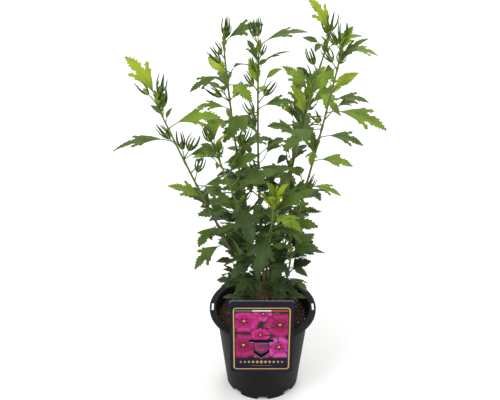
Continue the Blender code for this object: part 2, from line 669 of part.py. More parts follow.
class Guards:
    """What has grown so far, what nothing may touch, and the space that each cane's growth keeps to."""

    def __init__(self):
        self.still = BVHTree.FromPolygons(*still_guard())
        self.limbs = {cane["name"]: BVHTree.FromPolygons(*limb_guard(cane, 1)) for cane in CANES}
        self.boughs = {cane["name"]: BVHTree.FromPolygons(*limb_guard(cane, BARE_SHARE)) for cane in CANES}
        self.grown = {cane["name"]: [] for cane in CANES}

    def is_clear(self, cane, verts, faces):
        name = cane["name"]
        spine = [cane_point(cane, i / CANE_STEPS) for i in range(CANE_STEPS + 1)]
        if any(min((vert - point).length for point in spine) > SPACE_REACH for vert in verts):
            return False
        wide = BVHTree.FromPolygons(swollen(verts, faces, CLEARANCE), faces)
        if wide.overlap(self.still) or wide.overlap(self.boughs[name]):
            return False
        others = [other for other in self.limbs if other != name]
        if any(wide.overlap(self.limbs[other]) for other in others):
            return False
        return not any(wide.overlap(tree) for other in others for tree in self.grown[other])

    def keep(self, cane, kind, thing, kept):
        """Adds a leaf, bud or twig if it fits, turned by the least of a few angles that lets it."""
        for turn in TURNS_TRIED:
            tried = dict(thing, heading=thing["heading"] + turn)
            if kind == "leaf":
                verts, faces = thickened(*leaf_sheet(tried), LEAF_THICK)
            elif kind == "bud":
                verts, faces = bud_mesh(tried)
            else:
                points = [twig_point(tried, i / 2) for i in range(3)]
                verts, faces = square_tube(points, [TWIG_RADIUS] * 3)
            if self.is_clear(cane, verts, faces):
                thing.update(heading=tried["heading"])
                kept.append(thing)
                self.grown[cane["name"]].append(BVHTree.FromPolygons(verts, faces))
                return True
        return False


def square_tube(points, widths):
    """A closed square tube round upright points."""
    verts = [point + Vector((x * wide, y * wide, 0)) for point, wide in zip(points, widths)
             for x, y in ((1, 1), (-1, 1), (-1, -1), (1, -1))]
    faces = [(4 * i + j, 4 * i + (j + 1) % 4, 4 * i + 4 + (j + 1) % 4, 4 * i + 4 + j)
             for i in range(len(points) - 1) for j in range(4)]
    last = 4 * (len(points) - 1)
    faces += [(3, 2, 1, 0), (last, last + 1, last + 2, last + 3)]
    return verts, faces


def limb_guard(cane, end):
    """A square tube round a cane from its foot to a share of its length, a little wider than it is."""
    shares = [end * i / CANE_STEPS for i in range(CANE_STEPS + 1)]
    widths = [cane_radius(cane, share) + CLEARANCE for share in shares]
    return square_tube([cane_point(cane, share) for share in shares], widths)


def still_guard():
    """Soil top, rim and label as plain faces that no leaf may cross."""
    verts, faces = [], []
    sides = 24
    outer, inner, over = RIM_RADIUS + CLEARANCE, WALL_TOP_RADIUS - CLEARANCE, RIM_TOP + CLEARANCE
    rings = ((outer, RIM_TOP - 2 * SKIRT_DEPTH), (outer, over), (inner, over), (inner, SOIL_TOP),
             (STOOL_FOOT_RADIUS, SOIL_TOP + CLEARANCE), (0.001, SOIL_TOP + CLEARANCE))
    for radius, height in rings:
        verts += [Vector((radius * cos(2 * pi * i / sides), radius * sin(2 * pi * i / sides), height))
                  for i in range(sides)]
    for ring in range(len(rings) - 1):
        for i in range(sides):
            a, b = ring * sides + i, ring * sides + (i + 1) % sides
            faces.append((a, b, b + sides, a + sides))
    half = LABEL_WIDTH / 2 + CLEARANCE
    for out in (-2 * CLEARANCE, 2 * CLEARANCE):
        start = len(verts)
        for height in (LABEL_BOTTOM, LABEL_TOP + CLEARANCE):
            verts += [Vector((LABEL_SIDE + x, -label_place(height) + out, height)) for x in (-half, half)]
        faces.append((start, start + 1, start + 3, start + 2))
    return verts, faces


def make_mass(cane, growth, holder):
    """The leafy part of one cane: its stem, leaves and buds, fused into one solid."""
    start = BARE_SHARE + GAP / cane_length(cane)
    stem = cane_tube(f"foliage_{cane['name']}", cane, start, 1, holder, "stem")
    stem.data.materials.append(material("leaf"))
    pieces = collection(f"growth_{cane['name']}")
    for i, twig in enumerate(growth["twigs"]):
        radii = [TWIG_RADIUS, (TWIG_RADIUS + TWIG_TIP_RADIUS) / 2, TWIG_TIP_RADIUS]
        tube(f"twig_{i}", [twig_point(twig, j / 2) for j in range(3)], radii, 0, pieces, "stem")
    for i, leaf in enumerate(growth["leaves"]):
        sheet = mesh_object(f"leaf_{i}", *leaf_sheet(leaf), pieces, "leaf")
        body = sheet.modifiers.new("body", "SOLIDIFY")
        body.thickness = LEAF_THICK
        body.offset = 0
    for i, bud in enumerate(growth["buds"]):
        mesh_object(f"bud_{i}", *bud_mesh(bud), pieces, "leaf")
    cut(stem, pieces, "UNION")
    settled(stem)
    empty_out(pieces)


def main():
    for thing in list(bpy.data.objects):
        bpy.data.objects.remove(thing)
    plant = collection("rose_of_sharon")
    cutters = collection("cutters")
    make_pot(plant, cutters)
    make_soil(plant)
    make_label(plant)
    make_stool(plant)
    plan = plan_growth()
    for cane in CANES:
        cane_tube(f"bough_{cane['name']}", cane, 0, BARE_SHARE, plant, "bark")
        make_mass(cane, plan[cane["name"]], plant)


main()
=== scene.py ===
import json
import random
from math import atan2, cos, exp, pi, radians, sin, sqrt, tan

import bmesh
import bpy
from mathutils import Matrix, Vector, noise
from mathutils.bvhtree import BVHTree
from mathutils.geometry import delaunay_2d_cdt

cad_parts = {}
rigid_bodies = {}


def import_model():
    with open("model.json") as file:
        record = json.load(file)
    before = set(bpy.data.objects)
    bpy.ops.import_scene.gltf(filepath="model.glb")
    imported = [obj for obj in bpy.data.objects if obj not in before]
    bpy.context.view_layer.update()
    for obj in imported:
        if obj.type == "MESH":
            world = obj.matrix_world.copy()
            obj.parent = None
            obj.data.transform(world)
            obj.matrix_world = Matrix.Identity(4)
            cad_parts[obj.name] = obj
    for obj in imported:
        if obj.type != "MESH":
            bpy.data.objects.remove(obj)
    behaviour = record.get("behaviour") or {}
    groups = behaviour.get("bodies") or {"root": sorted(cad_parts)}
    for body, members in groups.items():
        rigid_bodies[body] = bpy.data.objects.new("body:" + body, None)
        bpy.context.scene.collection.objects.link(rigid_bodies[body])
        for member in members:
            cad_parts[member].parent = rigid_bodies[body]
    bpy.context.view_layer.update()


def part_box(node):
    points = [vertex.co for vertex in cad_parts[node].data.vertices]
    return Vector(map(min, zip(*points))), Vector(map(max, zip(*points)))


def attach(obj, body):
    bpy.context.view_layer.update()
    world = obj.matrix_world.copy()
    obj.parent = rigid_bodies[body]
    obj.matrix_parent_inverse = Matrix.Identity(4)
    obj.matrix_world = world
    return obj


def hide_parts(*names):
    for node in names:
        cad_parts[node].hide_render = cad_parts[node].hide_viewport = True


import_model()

up = Vector((0, 0, 1))
scene = bpy.context.scene


def linear(red, green, blue):
    # screen colours, 0 to 255, as the shader wants them
    shares = (red / 255, green / 255, blue / 255)
    return tuple(c / 12.92 if c < 0.04 else ((c + 0.055) / 1.055) ** 2.4 for c in shares)


# Camera and studio

cameraSizes = {
    "place": (-0.0228, -1.5, 1.3607),
    "lookDown": 32.879,  # degrees below level
    "lens": 76.74,
    "sensor": 36,
}


def makeCamera():
    data = bpy.data.cameras.new("camera")
    data.lens, data.sensor_width = cameraSizes["lens"], cameraSizes["sensor"]
    camera = bpy.data.objects.new("camera", data)
    camera.location = cameraSizes["place"]
    camera.rotation_euler = (radians(90 - cameraSizes["lookDown"]), 0, 0)
    scene.collection.objects.link(camera)
    scene.camera = camera


studio = {
    "aim": (0, 0, 0.3),
    "floorHalf": 7,
    "floor": dict(colour=(0.86, 0.86, 0.85), roughness=0.9, vary=0.02, grain=3),
    "skyColour": (1.0, 1.0, 1.0),
    "skyStrength": 0.85,
    "lamps": (  # name, place, size, watts
        ("key", (-1.5, -1.6, 2.6), 1.4, 46),
        ("fill", (1.9, -1.2, 1.6), 1.8, 18),
        ("back", (0.5, 1.9, 2.3), 1.6, 34),
    ),
}


def makeStudio():
    world = bpy.data.worlds.new("studio")
    world.use_nodes = True
    sky = world.node_tree.nodes["Background"]
    sky.inputs["Color"].default_value = (*studio["skyColour"], 1)
    sky.inputs["Strength"].default_value = studio["skyStrength"]
    scene.world = world
    scene.view_settings.view_transform = "Standard"
    for name, place, size, watts in studio["lamps"]:
        data = bpy.data.lights.new(name, "AREA")
        data.size, data.energy = size, watts
        lamp = bpy.data.objects.new(name, data)
        lamp.location = place
        lamp.rotation_euler = (Vector(studio["aim"]) - Vector(place)).to_track_quat("-Z", "Y").to_euler()
        scene.collection.objects.link(lamp)
    half = studio["floorHalf"]
    corners = [(-half, -half, 0), (half, -half, 0), (half, half, 0), (-half, half, 0)]
    floor = meshObject("studio_floor", corners, [(0, 1, 2, 3)])
    floor.data.materials.append(finish("floor_paper", **studio["floor"]))


# Materials

finishLook = {
    "rampEnds": (0.28, 0.72),
    "spotEdge": 0.05,
    "glossSpread": 0.08,
    "glossGrain": 1.7,  # times the colour's grain
    "bumpStrength": 0.6,
}


def finish(name, colour, roughness, vary, grain, shine=0.5, bump=0.0, bumpGrain=400, stretch=(1, 1, 1),
           spots=None):
    # one shader for all surfaces: colour that varies with a noise, uneven gloss, fine relief, loose spots
    f, made = finishLook, bpy.data.materials.new(name)
    made.use_nodes = True
    tree = made.node_tree
    shader = tree.nodes["Principled BSDF"]
    shader.inputs["Specular IOR Level"].default_value = shine
    place = tree.nodes.new("ShaderNodeTexCoord").outputs["Object"]
    place = addNode(tree, "ShaderNodeMapping", {"Vector": place}, Scale=stretch)

    def cloud(scale, detail):
        return addNode(tree, "ShaderNodeTexNoise", {"Vector": place}, Scale=scale, Detail=detail)

    tone = addNode(tree, "ShaderNodeValToRGB", {"Fac": cloud(grain, 4)})
    for stop, position, share in zip(tone.node.color_ramp.elements, f["rampEnds"], (1 - vary, 1 + vary)):
        stop.position = position
        stop.color = (*(min(1, c * share) for c in colour), 1)
    if spots:
        spotColour, spotGrain, low = spots
        edge = addNode(tree, "ShaderNodeMapRange", {"Value": cloud(spotGrain, 3)},
                       From_Min=low, From_Max=low + f["spotEdge"])
        tone = addNode(tree, "ShaderNodeMix", {"Factor": edge, "A": tone}, {"data_type": "RGBA"},
                       B=(*spotColour, 1))
    tree.links.new(tone, shader.inputs["Base Color"])
    gloss = addNode(tree, "ShaderNodeMapRange", {"Value": cloud(grain * f["glossGrain"], 2)},
                    To_Min=max(0, roughness - f["glossSpread"]), To_Max=min(1, roughness + f["glossSpread"]))
    tree.links.new(gloss, shader.inputs["Roughness"])
    if bump:
        relief = addNode(tree, "ShaderNodeBump", {"Height": cloud(bumpGrain, 3)},
                         Strength=f["bumpStrength"], Distance=bump)
        tree.links.new(relief, shader.inputs["Normal"])
    return made


# Meshes and node trees

def meshObject(name, verts, faces, edges=()):
    data = bpy.data.meshes.new(name)
    data.from_pydata([tuple(v) for v in verts], edges, faces)
    made = bpy.data.objects.new(name, data)
    scene.collection.objects.link(made)
    return made


def circle(sides, radius=1.0, start=0.0):
    return [(radius * cos(a), radius * sin(a)) for a in (2 * pi * i / sides + start for i in range(sides))]


def fromBmesh(name, bm):
    data = bpy.data.meshes.new(name)
    bm.to_mesh(data)
    bm.free()
    made = bpy.data.objects.new(name, data)
    scene.collection.objects.link(made)
    return made


def settle(thing):
    # the evaluated mesh takes the place of the modifiers
    bpy.context.view_layer.update()
    graph = bpy.context.evaluated_depsgraph_get()
    data = bpy.data.meshes.new_from_object(thing.evaluated_get(graph))
    thing.modifiers.clear()
    thing.data = data
    data.name = thing.name
    return thing


def placeMesh(thing, matrix):
    thing.data.transform(matrix)
    thing.data.update()
    return thing


def join(name, things):
    bm = bmesh.new()
    slots = []
    for thing in things:
        start = len(bm.faces)
        bm.from_mesh(thing.data)
        bm.faces.ensure_lookup_table()
        for surface in thing.data.materials:
            if surface not in slots:
                slots.append(surface)
        numbers = [slots.index(surface) for surface in thing.data.materials] or [0]
        for face in bm.faces[start:]:
            face.material_index = numbers[face.material_index]
        bpy.data.objects.remove(thing)
    made = fromBmesh(name, bm)
    for surface in slots:
        made.data.materials.append(surface)
    return made


def smooth(thing, angle):
    thing.data.shade_smooth()
    thing.data.set_sharp_from_angle(angle=radians(angle))
    return thing


def addPiece(thing, nodes):
    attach(thing, "root")
    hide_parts(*nodes)
    print(f"  {thing.name}: {sum(len(p.vertices) - 2 for p in thing.data.polygons)} triangles")
    return thing


def newTree(name, inputs):
    tree = bpy.data.node_groups.new(name, "GeometryNodeTree")
    tree.interface.new_socket("Geometry", in_out="INPUT", socket_type="NodeSocketGeometry")
    for label, kind in inputs.items():
        tree.interface.new_socket(label, in_out="INPUT", socket_type="NodeSocket" + kind)
    tree.interface.new_socket("Geometry", in_out="OUTPUT", socket_type="NodeSocketGeometry")
    return tree, tree.nodes.new("NodeGroupInput"), tree.nodes.new("NodeGroupOutput")


def addNode(tree, kind, links=None, settings=None, **values):
    node = tree.nodes.new(kind)
    for name, value in (settings or {}).items():
        setattr(node, name, value)
    for name, value in values.items():
        openInput(node, name.replace("_", " ")).default_value = value
    for name, source in (links or {}).items():
        tree.links.new(source, openInput(node, name))
    return openOutput(node)


def vectorNode(tree, operation, first, second, slot=1):
    node = tree.nodes.new("ShaderNodeVectorMath")
    node.operation = operation
    tree.links.new(first, node.inputs[0])
    if hasattr(second, "node"):
        tree.links.new(second, node.inputs[slot])
    else:
        node.inputs[slot].default_value = second
    return node.outputs[0]


def openInput(node, name):
    return next(s for s in node.inputs if s.name == name and s.enabled)


def openOutput(node):
    return next(s for s in node.outputs if s.enabled)


def stored(tree, name, kind="FLOAT"):
    return addNode(tree, "GeometryNodeInputNamedAttribute", settings={"data_type": kind}, Name=name)


def closeTree(tree, body, end, surface, isSmooth=True):
    # real meshes with their material, which is what the export keeps
    body = addNode(tree, "GeometryNodeRealizeInstances", {"Geometry": body})
    if isSmooth:
        body = addNode(tree, "GeometryNodeSetShadeSmooth", {"Geometry": body})
    body = addNode(tree, "GeometryNodeSetMaterial", {"Geometry": body, "Material": surface})
    tree.links.new(body, end.inputs[0])
    return tree


def pickedForms(tree, given, **links):
    # one shape of a collection on each point, picked by the point's stored form
    forms = addNode(tree, "GeometryNodeCollectionInfo", {"Collection": given["Shapes"]})
    for name in ("Separate Children", "Reset Children"):
        openInput(forms.node, name).default_value = True
    picked = stored(tree, "form", "INT")
    body = addNode(tree, "GeometryNodeInstanceOnPoints", {
        "Points": given["Geometry"], "Instance": forms, "Instance Index": picked, **links})
    openInput(body.node, "Pick Instance").default_value = True
    return body


def runTree(thing, tree, values):
    modifier = thing.modifiers.new(tree.name, "NODES")
    modifier.node_group = tree
    for item in tree.interface.items_tree:
        if item.in_out == "INPUT" and item.name in values:
            modifier[item.identifier] = values[item.name]
    return modifier


def store(thing, name, values, kind="FLOAT"):
    made = thing.data.attributes.new(name, kind, "POINT")
    if kind == "FLOAT_VECTOR":
        made.data.foreach_set("vector", [c for value in values for c in value])
    else:
        made.data.foreach_set("value", list(values))


class Field:
    # a number in a node tree, which plain sums build on
    def __init__(self, tree, socket):
        self.tree, self.socket = tree, socket

    def math(self, operation, *others):
        node = self.tree.nodes.new("ShaderNodeMath")
        node.operation = operation
        self.tree.links.new(self.socket, node.inputs[0])
        for slot, other in zip(node.inputs[1:], others):
            if isinstance(other, Field):
                self.tree.links.new(other.socket, slot)
            else:
                slot.default_value = other
        return Field(self.tree, node.outputs[0])

    def __add__(self, other):
        return self.math("ADD", other)

    def __sub__(self, other):
        return self.math("SUBTRACT", other)

    def __mul__(self, other):
        return self.math("MULTIPLY", other)

    def __truediv__(self, other):
        return self.math("DIVIDE", other)

    def sin(self):
        return self.math("SINE")

    def cos(self):
        return self.math("COSINE")

    def abs(self):
        return self.math("ABSOLUTE")


def grained(tree, geometry, amount, grain, stretch):
    # pushes a surface out and in along its normals by a noise that runs with the wood
    place = vectorNode(tree, "MULTIPLY", addNode(tree, "GeometryNodeInputPosition"), stretch)
    cloud = addNode(tree, "ShaderNodeTexNoise", {"Vector": place, "Scale": grain}, Detail=4.0)
    push = (Field(tree, cloud) - 0.5) * Field(tree, amount)
    normal = addNode(tree, "GeometryNodeInputNormal")
    offset = vectorNode(tree, "SCALE", normal, push.socket, slot="Scale")
    return addNode(tree, "GeometryNodeSetPosition", {"Geometry": geometry, "Offset": offset})


def tubeTree():
    # round limbs along stored paths, each as thick as its points say
    tree, start, end = newTree("round_limbs", {"Sides": "Int", "Step": "Float", "Relief": "Float",
                                               "Grain": "Float", "Surface": "Material"})
    given = start.outputs
    curve = addNode(tree, "GeometryNodeMeshToCurve", {"Mesh": given["Geometry"]})
    curve = addNode(tree, "GeometryNodeCurveSplineType", {"Curve": curve}, {"spline_type": "CATMULL_ROM"})
    curve = addNode(tree, "GeometryNodeResampleCurve", {"Curve": curve}, {"mode": "LENGTH"})
    tree.links.new(given["Step"], openInput(curve.node, "Length"))
    ring = addNode(tree, "GeometryNodeCurvePrimitiveCircle", {"Resolution": given["Sides"]}, Radius=1.0)
    body = addNode(tree, "GeometryNodeCurveToMesh", {"Curve": curve, "Profile Curve": ring,
                                                     "Scale": stored(tree, "thick")})
    openInput(body.node, "Fill Caps").default_value = True
    body = grained(tree, body, given["Relief"], given["Grain"], stemLook["woodRun"])
    return closeTree(tree, body, end, given["Surface"])


def tubes(name, paths, surface, sides, step, relief, grain=700.0):
    verts, edges, radii = [], [], []
    for path in paths:
        for i, (point, radius) in enumerate(path):
            if i:
                edges.append((len(verts) - 1, len(verts)))
            verts.append(point)
            radii.append(radius)
    made = meshObject(name, verts, [], edges)
    store(made, "thick", radii)
    runTree(made, limbTree, {"Sides": sides, "Step": step, "Relief": relief, "Grain": grain,
                             "Surface": surface})
    return settle(made)


def scatterTree():
    # small shapes from a collection, each at a stored place with its own turn and size
    tree, start, end = newTree("small_shapes", {"Shapes": "Collection", "Surface": "Material"})
    given = start.outputs
    turn = addNode(tree, "FunctionNodeEulerToRotation", {"Euler": stored(tree, "turn", "FLOAT_VECTOR")})
    body = pickedForms(tree, given, Rotation=turn, Scale=stored(tree, "size", "FLOAT_VECTOR"))
    return closeTree(tree, body, end, given["Surface"])


def shapeSet(name, things):
    # a collection of shapes for a tree to pick from, which isn't shown itself
    made = bpy.data.collections.new(name)
    for i, thing in enumerate(things):
        thing.name = f"{name}_{i:02d}"
        for old in list(thing.users_collection):
            old.objects.unlink(thing)
        made.objects.link(thing)
    return made


def scatter(name, places, shapes, surface):
    # places are (point, turn as a matrix, size, form)
    made = meshObject(name, [p[0] for p in places], [])
    store(made, "turn", [p[1].to_euler() for p in places], "FLOAT_VECTOR")
    store(made, "size", [(p[2],) * 3 for p in places], "FLOAT_VECTOR")
    store(made, "form", [p[3] for p in places], "INT")
    runTree(made, setTree, {"Shapes": shapes, "Surface": surface})
    return settle(made)


def clearSet(shapes):
    for thing in list(shapes.objects):
        bpy.data.objects.remove(thing)
    bpy.data.collections.remove(shapes)


# Pot

potLow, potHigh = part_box("pot")
soilLow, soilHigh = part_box("soil")

potSizes = {
    "rimRadius": potHigh[0], "rimTop": potHigh[2], "rimThick": 0.0015, "round": 0.0006,
    "skirt": 0.0052, "skirtLean": 0.0001, "skirtMiddle": 0.003,
    "fillet": ((0.0024, 0), (0.0008, 0.0008), (0, 0.0026)),  # out and down, under the rim
    "wallTop": 0.0832, "base": 0.0654, "wall": 0.0013,
    "innerHeights": (0.05, 0.10, 0.14), "outerHeights": (0.14, 0.11, 0.08, 0.05, 0.02),
    "lipRound": 0.0018, "lipOut": 0.0014, "lipBelow": 0.006, "footRound": 0.0024, "footIn": (0.0021, 0.0022),
    "floor": 0.0016, "plate": 0.040, "channel": 0.0042, "channelOuter": 0.0575, "ease": 0.002,
    "slopes": (0.0015, 0.003),  # of the channel's two sides
    "sides": 176, "sharpFrom": 32,
    "notches": 8, "notchWidth": 0.022, "notchHeight": 0.0075, "notchReach": 0.016, "notchTaper": 0.8,
    "slots": 4, "slotRadius": 0.0895, "slotWidth": 0.0036, "slotLength": 0.020, "cutDepth": 0.006,
    "finish": dict(colour=linear(24, 24, 25), roughness=0.50, vary=0.12, grain=26, shine=0.07,
                   bump=0.00012, bumpGrain=1500, stretch=(1, 1, 0.5), spots=(linear(44, 40, 36), 210, 0.72)),
}


def wallRadius(height):
    p = potSizes
    return p["base"] + (p["wallTop"] - p["base"]) * height / (p["rimTop"] - p["rimThick"])


def bend(centre, radius, start, end, steps=4):
    # points of an arc in the profile's plane, in degrees
    angles = [radians(start + (end - start) * i / steps) for i in range(steps + 1)]
    return [(centre[0] + radius * cos(a), centre[1] + radius * sin(a)) for a in angles]


def lathe(name, profile, sides):
    bm = bmesh.new()
    rings = []
    for radius, height in profile:
        if radius < 1e-6:
            rings.append([bm.verts.new((0, 0, height))] * sides)
        else:
            rings.append([bm.verts.new((x, y, height)) for x, y in circle(sides, radius)])
    for above, below in zip(rings, rings[1:]):
        for i in range(sides):
            j = (i + 1) % sides
            corners = [above[i], below[i], below[j], above[j]]
            face = [v for k, v in enumerate(corners) if v not in corners[:k]]
            if len(face) > 2:
                bm.faces.new(face)
    return fromBmesh(name, bm)


def block(size, taper, place, heading):
    # a cutter: a box that narrows upwards
    bm = bmesh.new()
    bmesh.ops.create_cube(bm, size=1)
    for v in bm.verts:
        narrow = taper if v.co.z > 0 else 1
        v.co = Vector((v.co.x * size[0], v.co.y * size[1] * narrow, v.co.z * size[2]))
    matrix = Matrix.Translation(place) @ Matrix.Rotation(heading, 4, "Z")
    bmesh.ops.transform(bm, matrix=matrix, verts=bm.verts)
    return fromBmesh("cutter", bm)


def cutAway(thing, cutters):
    cutter = join("cutters", cutters)
    change = thing.modifiers.new("cut", "BOOLEAN")
    change.object = cutter
    change.solver = "EXACT"
    settle(thing)
    bpy.data.objects.remove(cutter)
    return thing


def makePot():
    p = potSizes
    top, r, edge, ease, half = p["rimTop"], p["rimRadius"], p["round"], p["ease"], p["wall"] / 2
    under, skirt, rise = top - p["rimThick"], top - p["skirt"], p["channel"] + p["floor"]
    lip, lipRound = p["wallTop"] - p["wall"] + p["lipOut"], p["lipRound"]
    inner = wallRadius(rise) - p["wall"]
    profile = [(0, p["floor"]), (p["plate"] - ease / 2, p["floor"]), (p["plate"] + ease, rise),
               (inner - ease, rise), (inner, rise + ease)]
    profile += [(wallRadius(h) - p["wall"], h) for h in (*p["innerHeights"], top - p["lipBelow"])]
    profile += bend((lip + lipRound, top - lipRound), lipRound, 180, 90, 5)
    profile += bend((r - edge, top - edge), edge, 90, 0)
    profile += [(r - p["skirtLean"], top - p["skirtMiddle"])]
    profile += bend((r - half, skirt + half), half, 0, -180, 6)
    profile += [(r - p["wall"], under - edge), (r - p["wall"] - edge, under)]
    profile += [(p["wallTop"] + out, under - down) for out, down in p["fillet"]]
    profile += [(wallRadius(h), h) for h in p["outerHeights"]]
    profile += bend((p["base"] - p["footIn"][0], p["footRound"]), p["footRound"], 10, -80, 6)
    profile += [(p["base"] - p["footIn"][1], 0), (p["channelOuter"] + p["slopes"][0], 0),
                (p["channelOuter"], p["channel"]), (p["plate"] + p["slopes"][1], p["channel"]),
                (p["plate"], 0), (0, 0)]
    pot = lathe("pot_shell", profile, p["sides"])
    notch = (p["notchReach"], p["notchWidth"], 2 * p["notchHeight"])
    slot = (p["slotWidth"], p["slotLength"], p["cutDepth"])
    notchAt = p["base"] - p["notchReach"] / 2 + p["cutDepth"]
    cutters = []
    for count, start, distance, height, size, taper in (
            (p["notches"], -pi / 2, notchAt, 0, notch, p["notchTaper"]),
            (p["slots"], 0, p["slotRadius"], top, slot, 1)):
        for i, (x, y) in enumerate(circle(count, distance, start)):
            cutters.append(block(size, taper, (x, y, height), 2 * pi * i / count + start))
    cutAway(pot, cutters)
    pot.data.materials.clear()
    pot.data.materials.append(finish("moulded_black_plastic", **p["finish"]))
    addPiece(smooth(pot, p["sharpFrom"]), ["pot"])


# Soil

soilSizes = {
    "rings": 46, "sides": 150, "clear": 0.0004, "footIn": 0.001, "sunk": 0.0012,
    "lumps": 0.0009, "lumpGrain": 95, "lumpDetail": (0.6, 2.1, 4),
    "edgeFrom": 0.068, "edgeFall": 0.20,  # the bed falls away towards the wall
    "rockGrain": 1.3, "wallRoom": 1.2,  # the latter in sizes of the grain
    "seed": 12,
    "shapes": {  # how many, detail, roughness, squash, tilt axis, tilt
        "crumb": (6, 1, 0.7, (1, 1, 1), "X", 0.6),
        "clod": (6, 2, 0.8, (1, 0.8, 0.7), "X", 0.6),
        "fibre": (4, 1, 0.4, (1, 0.10, 0.08), "Y", 0.35),
    },
    "grains": (  # name, count, sizes, how proud they lie, shape, finish
        ("crumbs", 1500, (0.0005, 0.0014), 0.35, "crumb", "peat"),
        ("clods", 260, (0.0012, 0.0030), 0.10, "clod", "peat_crumb"),
        ("fibres", 170, (0.0025, 0.0075), 0.06, "fibre", "peat_fibre"),
        ("perlite", 46, (0.0009, 0.0017), 0.25, "clod", "perlite"),
    ),
    "finishes": {
        "peat": dict(colour=linear(44, 34, 27), roughness=0.95, vary=0.45, grain=240, bump=0.0008,
                     bumpGrain=900, spots=(linear(104, 82, 58), 520, 0.66), shine=0.2),
        "peat_crumb": dict(colour=linear(62, 48, 37), roughness=0.95, vary=0.4, grain=300, bump=0.0004,
                           bumpGrain=1500, shine=0.2),
        "peat_fibre": dict(colour=linear(112, 88, 62), roughness=0.9, vary=0.3, grain=400,
                           shine=0.2),
        "perlite": dict(colour=linear(186, 182, 172), roughness=0.85, vary=0.08, grain=500, bump=0.0003,
                        bumpGrain=2500, shine=0.3),
    },
}


def soilHeight(x, y):
    s = soilSizes
    lumps = noise.fractal(Vector((x, y, 0)) * s["lumpGrain"], *s["lumpDetail"])
    edge = max(0, sqrt(x * x + y * y) - s["edgeFrom"]) * s["edgeFall"]
    return soilHigh[2] - s["sunk"] + lumps * s["lumps"] - edge


def rockForm(dice, detail, rough, squash):
    bm = bmesh.new()
    bmesh.ops.create_icosphere(bm, subdivisions=detail, radius=1)
    shift = Vector((dice.uniform(-9, 9), dice.uniform(-9, 9), dice.uniform(-9, 9)))
    for v in bm.verts:
        v.co *= 1 + rough * noise.noise(v.co * soilSizes["rockGrain"] + shift)
        v.co = Vector(c * s for c, s in zip(v.co, squash))
    return fromBmesh("form", bm)


def makeSoil():
    s = soilSizes
    rim, foot = (wallRadius(z) - potSizes["wall"] - s["clear"] for z in (soilHigh[2], soilLow[2]))
    profile = [(rim * i / s["rings"], soilHigh[2]) for i in range(s["rings"] + 1)]
    bed = lathe("soil_bed", profile + [(foot - s["footIn"], soilLow[2]), (0, soilLow[2])], s["sides"])
    middle = (soilLow[2] + soilHigh[2]) / 2
    for v in bed.data.vertices:
        if v.co.z > middle:
            v.co.z = soilHeight(v.co.x, v.co.y)
    smooth(bed, 180)
    surfaces = {name: finish(name, **look) for name, look in s["finishes"].items()}
    bed.data.materials.append(surfaces["peat"])
    dice = random.Random(s["seed"])
    shapes = {name: shapeSet(name + "Form", [rockForm(dice, *form) for _ in range(count)])
              for name, (count, *form, _, _) in s["shapes"].items()}
    parts = [bed]
    for name, count, sizes, proud, shape, surface in s["grains"]:
        forms, *_, axis, tilt = s["shapes"][shape]
        places = []
        while len(places) < count:
            x, y, size = dice.uniform(-rim, rim), dice.uniform(-rim, rim), dice.uniform(*sizes)
            if sqrt(x * x + y * y) > rim - size * s["wallRoom"]:
                continue
            turn = Matrix.Rotation(dice.uniform(0, 2 * pi), 3, "Z")
            turn = turn @ Matrix.Rotation(dice.uniform(-tilt, tilt), 3, axis)
            place = (x, y, soilHeight(x, y) + size * proud)
            places.append((place, turn, size, dice.randrange(forms)))
        parts.append(scatter(name, places, shapes[shape], surfaces[surface]))
    for shape in shapes.values():
        clearSet(shape)
    addPiece(join("soil_bed", parts), ["soil"])


# Label: a card with a punched shield, its hook over the rim, and a plain flower print

labelSizes = {
    "width": 0.108, "top": 0.2600, "bottom": 0.0905, "thick": 0.0009, "lean": 5.0, "side": -0.003,
    "corner": 0.006, "front": 0.0972,
    "shieldWidth": 0.0265, "shieldDepth": 0.040, "shieldPoint": 0.014,
    "barWidth": 0.040, "barHeight": 0.007, "barTop": 0.0060,
    "hookWidth": 0.013, "hookTip": 2 / 7, "hookThick": 0.0010, "hookDrop": 0.021, "hookEdge": 0.0002,
    "hookAbove": 0.0012, "hookOver": 0.0018, "hookWaist": 0.6,
    "hookKnee": (0.0012, 0.0002), "hookCrown": (0.0016, 0.0008), "hookShoulder": 0.0006, "hookOut": 0.0004,
    "tongueTurn": 13,  # degrees that the punched tongue leans back
    "tongueGap": 0.0006, "tongueDrop": 0.0016, "tongueInset": 0.0003, "tongueClear": 0.0135,
    "tonguePetal": 0.6,  # width as a share of its reach
    "tonguePrint": (  # across, down, reach, turn, colour of the petals that cross it
        (-0.013, 0.004, 0.019, -28, "deep"), (0.014, 0.001, 0.017, 232, "mauveDark"),
        (-0.010, 0.022, 0.014, -12, "rose"), (0.011, 0.012, 0.012, 250, "pink")),
    "card": dict(colour=linear(17, 14, 36), roughness=0.42, vary=0.08, grain=40, bump=0.00004,
                 bumpGrain=900, shine=0.12),
    "cardEdge": dict(colour=linear(168, 168, 172), roughness=0.7, vary=0.1, grain=300),
}

